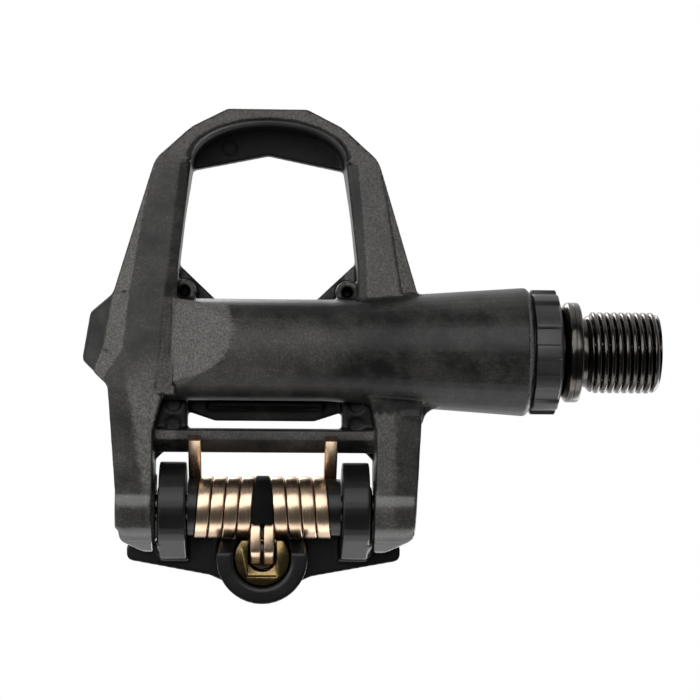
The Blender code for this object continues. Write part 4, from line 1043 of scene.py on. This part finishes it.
axle = revolved("axle", axle_profile() + shaft_profile(), 96, thread_radius)
socket = drum("hex_key_socket", HEX_FLATS / math.sqrt(3), 0, 2 * HEX_DEPTH, 0, 0, 6)
socket.data.transform(Matrix.Translation((THREAD_END - HEX_DEPTH, 0, 0)) @ Matrix.Rotation(math.pi / 2, 4, "Y"))
carve(axle, socket)
shade(axle, angle=40)
dress(axle, BLACK_STEEL, "spindle", "spindle")

# %% [markdown]
# ## The lock ring
# A twelve-sided nut of black plastic closes the bearing. Flats alternate with low notches for its tool, so its
# radius again follows a rule of the angle. It is turned with a rounded crank-side edge.

# %% Turn the lock ring
RING_LOW, RING_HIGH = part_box("lock_ring")
RING_RADIUS = RING_HIGH.z
RING_FLATS = 12
RING_NOTCH = 0.55 * MM
NOTCH_SIDES = (0.50, 0.62)
RING_WIDTH = 5.05 * MM
RING_CONE = 0.8 * MM


def ring_radius(place, radius, angle):
    if radius < RING_RADIUS - 0.6 * MM:
        return radius
    phase = (angle * RING_FLATS / math.tau) % 1.0
    from_middle = abs(phase - 0.5) * 2
    return radius - RING_NOTCH * (1 - ease(from_middle, *NOTCH_SIDES))


def ring_profile():
    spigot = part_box("bearing_outer_race")[1].z
    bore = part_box("lip_seal")[1].z + 0.1 * MM
    face = RING_HIGH.x
    back = face - RING_WIDTH
    return [
        (face, bore),
        (face, bore + 0.4 * MM),
        (face - 0.1 * MM, bore + 0.75 * MM),
        (face - RING_CONE + 0.1 * MM, RING_RADIUS - 0.2 * MM),
        (face - RING_CONE - 0.1 * MM, RING_RADIUS),
        (back + 0.3 * MM, RING_RADIUS),
        (back + 0.08 * MM, RING_RADIUS - 0.08 * MM),
        (back, RING_RADIUS - 0.3 * MM),
        (back, spigot),
        (RING_LOW.x, spigot),
        (RING_LOW.x, bore),
    ]


lock_ring = shade(revolved("lock_ring_nut", ring_profile(), 240, ring_radius, closed=True), angle=40)
dress(lock_ring, RING_PLASTIC, "pedal", "lock_ring")

# %% [markdown]
# ## The springs
# Two torsion springs of flat wire wrap the cross pin. Each coil is a helix that ends in a straight outer leg, which
# leans on the cross bar. The folded inner leg is a piece of its own, because its tip sits in the nut's slot and
# follows the nut. A Geometry Nodes tree sweeps a rounded rectangle along each path, with the wire's flat side kept
# parallel to the pin. When the latch opens, the coil winds from its still outer leg to its moving inner end; here
# the coil and the inner leg are made at rest and are tied to no moving body.

# %% The wire sweep
PIN = Vector((CORE, *JOINTS["latch_pivot"]["pos_m"][1:]))
WIRE_WIDTH = 2.24 * MM
LEG_WIDTH = 1.75 * MM
WIRE_THICKNESS = 1.4 * MM
WIRE_EDGE = 0.22 * MM
COIL_RADIUS = 4.7 * MM
COIL_PITCH = 2.45 * MM
COIL_TURNS = 4
FIRST_TURN = 3.0 * MM - 0.75 * COIL_PITCH
INNER_LEG_REACH = 4.5 * MM
INNER_LEG_DROP = 2.2 * MM
OUTER_LEG_ANGLE = math.radians(133)
OUTER_LEG_LENGTH = 12.4 * MM
LEG_LEAVES = math.radians(-38)
LEG_RISE = (8.2 * MM, -3.0 * MM)
LEG_KINK = (7.3 * MM, -4.0 * MM)
LEG_FLAT = (6.8 * MM, -4.2 * MM)
LEG_FOLD = (3.3 * MM, -3.4 * MM)


def new_tree(name, inputs, output):
    """An empty Geometry Nodes tree with its sockets."""
    tree = bpy.data.node_groups.new(name, "GeometryNodeTree")
    sockets = {}
    for label, kind in inputs:
        made = tree.interface.new_socket(label, in_out="INPUT", socket_type=f"NodeSocket{kind}")
        sockets[label] = made.identifier
    tree.interface.new_socket(output, in_out="OUTPUT", socket_type="NodeSocketGeometry")
    return tree, sockets, add(tree, "NodeGroupInput").outputs, add(tree, "NodeGroupOutput").inputs


def painted(tree, geometry, given, result):
    """Ends a tree: makes its copies real and gives them their finish."""
    real = add(tree, "GeometryNodeRealizeInstances", {"Geometry": geometry}).outputs["Geometry"]
    paint = add(tree, "GeometryNodeSetMaterial", {"Geometry": real, "Material": given["Finish"]})
    connect(tree, paint.outputs["Geometry"], result[0])


def wire_tree():
    inputs = (
        ("Path", "Geometry"), ("Width", "Float"), ("Thickness", "Float"), ("Edge", "Float"), ("Finish", "Material")
    )
    tree, sockets, given, result = new_tree("flat_wire", inputs, "Wire")
    shape = {"Width": given["Thickness"], "Height": given["Width"]}
    section = add(tree, "GeometryNodeCurvePrimitiveQuadrilateral", shape).outputs["Curve"]
    corner = add(tree, "GeometryNodeFilletCurve", {"Curve": section, "Radius": given["Edge"]})
    corner.mode = "POLY"
    corner.inputs["Count"].default_value = 3
    upright = add(tree, "GeometryNodeSetCurveNormal", {"Curve": given["Path"]})
    upright.mode = "Z_UP"
    sweep = add(tree, "GeometryNodeCurveToMesh", {
        "Curve": upright.outputs["Curve"], "Profile Curve": corner.outputs["Curve"], "Fill Caps": True
    })
    painted(tree, sweep.outputs["Mesh"], given, result)
    return tree, sockets


WIRE_TREE, WIRE_SOCKETS = wire_tree()
print("tree:", WIRE_TREE.name, list(WIRE_SOCKETS))

# %% Wind the springs


def inner_leg_path():
    """From the tip in the nut's slot, down to the kink, back to the fold, and round the coil to its first turn."""
    tip = (COIL_RADIUS + INNER_LEG_REACH, -INNER_LEG_DROP)
    points = [(FIRST_TURN, y, z) for y, z in (tip, LEG_RISE, LEG_KINK, LEG_FLAT, LEG_FOLD)]
    for i in range(9):
        angle = LEG_LEAVES * (1 - i / 8)
        points.append((FIRST_TURN, COIL_RADIUS * math.cos(angle), COIL_RADIUS * math.sin(angle)))
    return points


def coil_path():
    sweep = math.tau * COIL_TURNS + OUTER_LEG_ANGLE
    steps = 56 * COIL_TURNS
    points = []
    for i in range(steps + 1):
        angle = sweep * i / steps
        along = FIRST_TURN + COIL_PITCH * angle / math.tau
        points.append((along, COIL_RADIUS * math.cos(angle), COIL_RADIUS * math.sin(angle)))
    heading = (-math.sin(OUTER_LEG_ANGLE), math.cos(OUTER_LEG_ANGLE))
    for i in range(1, 5):
        reach = OUTER_LEG_LENGTH * i / 4
        points.append((along, points[steps][1] + heading[0] * reach, points[steps][2] + heading[1] * reach))
    return points


def swept_wire(name, path, sign, width):
    curve = bpy.data.curves.new(name, "CURVE")
    curve.dimensions = "3D"
    spline = curve.splines.new("POLY")
    spline.points.add(len(path) - 1)
    for point, (x, y, z) in zip(spline.points, path):
        point.co = (-z, y, sign * x, 1)
    wire = placed(name, curve)
    sweep = wire.modifiers.new("wire", "NODES")
    sweep.node_group = WIRE_TREE
    values = {"Width": width, "Thickness": WIRE_THICKNESS, "Edge": WIRE_EDGE, "Finish": SPRING_BRONZE}
    for label, value in values.items():
        sweep[WIRE_SOCKETS[label]] = value
    wire = settle(wire)
    wire.data.transform(Matrix.Translation(PIN) @ Matrix.Rotation(math.pi / 2, 4, "Y"))
    shape = bmesh.new()
    shape.from_mesh(wire.data)
    bmesh.ops.remove_doubles(shape, verts=shape.verts, dist=0.001 * MM)
    bmesh.ops.recalc_face_normals(shape, faces=shape.faces)
    shape.to_mesh(wire.data)
    shape.free()
    return shade(wire, angle=40)


for sign, side in ((1, "crank"), (-1, "outboard")):
    path = coil_path()
    coil = swept_wire(f"spring_coil_{side}", path, sign, WIRE_WIDTH)
    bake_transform(coil)
    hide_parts(f"spring_{side}")
    leg = swept_wire(f"spring_leg_{side}", inner_leg_path(), sign, LEG_WIDTH)
    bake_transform(leg)
    print(coil.name, len(coil.data.polygons), "faces;", leg.name, len(leg.data.polygons), "faces")

# %% [markdown]
# ## Pin, bobbins, screw and nut
# The springs sit on two plastic bobbins over the steel cross pin. Each bobbin has a flange beside its last turn,
# and a black guide fills the room between the first turns. The pin and the bobbins are turned again with real
# edges. The small nut and the screw keep their solids' shapes with bevelled edges, and the screw's end is cut clear
# of the springs.

# %% Turn the pin


def on_pin(piece):
    piece.data.transform(Matrix.Translation((0, PIN.y, PIN.z)))
    return piece


PIN_LOW, PIN_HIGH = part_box("latch_pin")
PIN_RADIUS = PIN_HIGH.z - PIN.z
PIN_EDGE = 0.4 * MM
PIN_END = [(0, 0), (0, 0.9 * MM), (0.25 * MM, 1.0 * MM), (0.25 * MM, 1.25 * MM), (0, 1.35 * MM),
           (0, PIN_RADIUS - PIN_EDGE), (PIN_EDGE, PIN_RADIUS)]
pin_profile = [(PIN_HIGH.x - inset, radius) for inset, radius in PIN_END]
pin_profile += [(PIN_LOW.x + inset, radius) for inset, radius in reversed(PIN_END)]
pin = shade(on_pin(revolved("cross_pin", pin_profile, 48)), angle=40)
dress(pin, BLACK_STEEL, "pedal", "latch_pin")

# %% Turn the bobbins and the guide
SLEEVE_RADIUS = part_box("spring_sleeve_crank")[1].z - PIN.z
SLEEVE_BORE = PIN_RADIUS + 0.1 * MM
SECTOR_STEPS = 48
GUIDE_CLEARANCE = 0.14 * MM
GUIDE_RADIUS = 5.5 * MM
GUIDE_START = math.radians(172)
GUIDE_END = math.radians(299)
FLANGE_RADIUS = 5.0 * MM
FLANGE_START = math.radians(150)
FLANGE_END = math.tau - 0.1


def ring_sector(name, first, last, inner, outer, near, far):
    """Part of a ring round the pin between two angles, whose two sides may climb like a screw."""
    sections = []
    for i in range(SECTOR_STEPS + 1):
        angle = first + (last - first) * i / SECTOR_STEPS
        sides = ((near(angle), inner), (near(angle), outer), (far(angle), outer), (far(angle), inner))
        sections.append([
            (PIN.x + along, PIN.y + radius * math.cos(angle), PIN.z + radius * math.sin(angle))
            for along, radius in sides
        ])
    return lofted(name, sections)


def wire_side(angle, turns, edge):
    """How far from the middle one side of the wire runs after some whole turns and an angle."""
    return FIRST_TURN + COIL_PITCH * (turns + angle / math.tau) + edge * (WIRE_WIDTH / 2 + GUIDE_CLEARANCE)


for sign, side in ((1, "crank"), (-1, "outboard")):
    low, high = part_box(f"spring_sleeve_{side}")
    profile = [
        (high.x, SLEEVE_BORE), (high.x, SLEEVE_RADIUS), (low.x, SLEEVE_RADIUS), (low.x, SLEEVE_BORE)
    ]
    bobbin = on_pin(revolved(f"spring_bobbin_{side}", profile, 48, closed=True))
    end = sign * max(sign * (low.x - PIN.x), sign * (high.x - PIN.x))
    flange = ring_sector(
        "flange", FLANGE_START, FLANGE_END, SLEEVE_RADIUS - 0.3 * MM, FLANGE_RADIUS,
        lambda angle: sign * wire_side(angle, COIL_TURNS - 1, 1), lambda angle: end)
    carve(bobbin, flange, "UNION")
    bobbin = bevelled(bobbin, 0.12 * MM)
    dress(bobbin, LATCH_NYLON, "pedal", f"spring_sleeve_{side}")

guide = ring_sector(
    "spring_guide", GUIDE_START, GUIDE_END, SLEEVE_RADIUS + 0.1 * MM, GUIDE_RADIUS,
    lambda angle: -wire_side(angle, 0, -1), lambda angle: wire_side(angle, 0, -1))
dress(bevelled(guide, 0.25 * MM), SEAL_RUBBER, "latch")

# %% Bevel the nut and the screw
BOLT_END = 2.2 * MM
nut = bevelled(welded_copy("tension_nut", "slotted_nut"), 0.2 * MM)
dress(nut, NUT_BRONZE, "tension_nut", "tension_nut")
screw = welded_copy("tension_screw", "tension_bolt")
carve(screw, drum("bolt_end", 4 * MM, -20 * MM, BOLT_END, CORE, SCREW_Y))
screw = bevelled(screw, 0.15 * MM)
dress(screw, BLACK_STEEL, "tension_screw", "tension_screw")

# %% [markdown]
# ## The bearings
# Balls and needles are hidden in the tube, and they repeat round the axle. One Geometry Nodes tree places a smooth
# roller on each point of a ring, realises the copies and sets the finish. Each ring becomes one plain mesh that
# rides on its own orbiting body.

# %% Rollers round the axle


def roller_tree(name, kind):
    inputs = (
        ("Empty", "Geometry"), ("Count", "Int"), ("Ring Radius", "Float"), ("Place", "Float"),
        ("Radius", "Float"), ("Length", "Float"), ("Finish", "Material"),
    )
    tree, sockets, given, result = new_tree(name, inputs, "Rollers")
    circle = add(tree, "GeometryNodeMeshCircle", {"Vertices": given["Count"], "Radius": given["Ring Radius"]})
    if kind == "ball":
        roller = add(tree, "GeometryNodeMeshUVSphere", {"Segments": 32, "Rings": 16, "Radius": given["Radius"]})
    else:
        size = {"Vertices": 24, "Depth": given["Length"], "Radius": given["Radius"]}
        roller = add(tree, "GeometryNodeMeshCylinder", size)
    spread = add(tree, "GeometryNodeInstanceOnPoints", {
        "Points": circle.outputs["Mesh"], "Instance": roller.outputs["Mesh"]
    })
    offset = add(tree, "ShaderNodeCombineXYZ", {"X": given["Place"]})
    turn = add(tree, "GeometryNodeTransform", {
        "Geometry": spread.outputs["Instances"],
        "Translation": offset.outputs["Vector"],
        "Rotation": (0, -math.pi / 2, 0),
    })
    painted(tree, turn.outputs["Geometry"], given, result)
    return tree, sockets


def roller_ring(name, kind, nodes, body):
    """A ring of rollers sized from the frame's own rollers."""
    low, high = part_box(nodes[0])
    values = {
        "Count": len(nodes),
        "Ring Radius": (low.z + high.z) / 2,
        "Place": (low.x + high.x) / 2,
        "Radius": (high.z - low.z) / 2,
        "Length": high.x - low.x,
        "Finish": BEARING_STEEL,
    }
    tree, sockets = roller_tree(f"{name}_tree", kind)
    rollers = placed(name, bpy.data.meshes.new(name))
    ring = rollers.modifiers.new("rollers", "NODES")
    ring.node_group = tree
    for label, value in values.items():
        ring[sockets[label]] = value
    rollers = settle(rollers)
    shade(rollers, angle=40)
    return dress(rollers, BEARING_STEEL, body, *nodes)


ORBITS = frame["record"]["behaviour"]["bodies"]
BALLS = [node for node in ORBITS["ball_set"] if node.startswith("ball_")]
NEEDLES = [node for node in ORBITS["needle_set"] if node.startswith("needle_") and node != "needle_cage"]
roller_ring("bearing_balls", "ball", BALLS, "ball_set")
roller_ring("bearing_needles", "needle", NEEDLES, "needle_set")

# %% Finish the solids that stay
KEPT_FINISHES = {
    "bearing_inner_race": BEARING_STEEL,
    "bearing_outer_race": BEARING_STEEL,
    "needle_cup": BEARING_STEEL,
    "spindle_circlip": BEARING_STEEL,
    "screw_clip": BEARING_STEEL,
    "bearing_cage": NUT_BRONZE,
    "needle_cage": NUT_BRONZE,
    "bearing_shield": SEAL_RUBBER,
    "lip_seal": SEAL_RUBBER,
}
for node, material in KEPT_FINISHES.items():
    coat(frame["nodes"][node], material)
print("kept solids:", ", ".join(KEPT_FINISHES))

# %% [markdown]
# ## Closing
# The box of the dressed pedal is printed beside the box of the bare frame, so that a change of size would show.

# %% Write the sizes and finish
VISUAL_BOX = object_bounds()
print("sizes:", [[round(v / MM, 2) for v in c] for c in (*CAD_BOX, *VISUAL_BOX)])
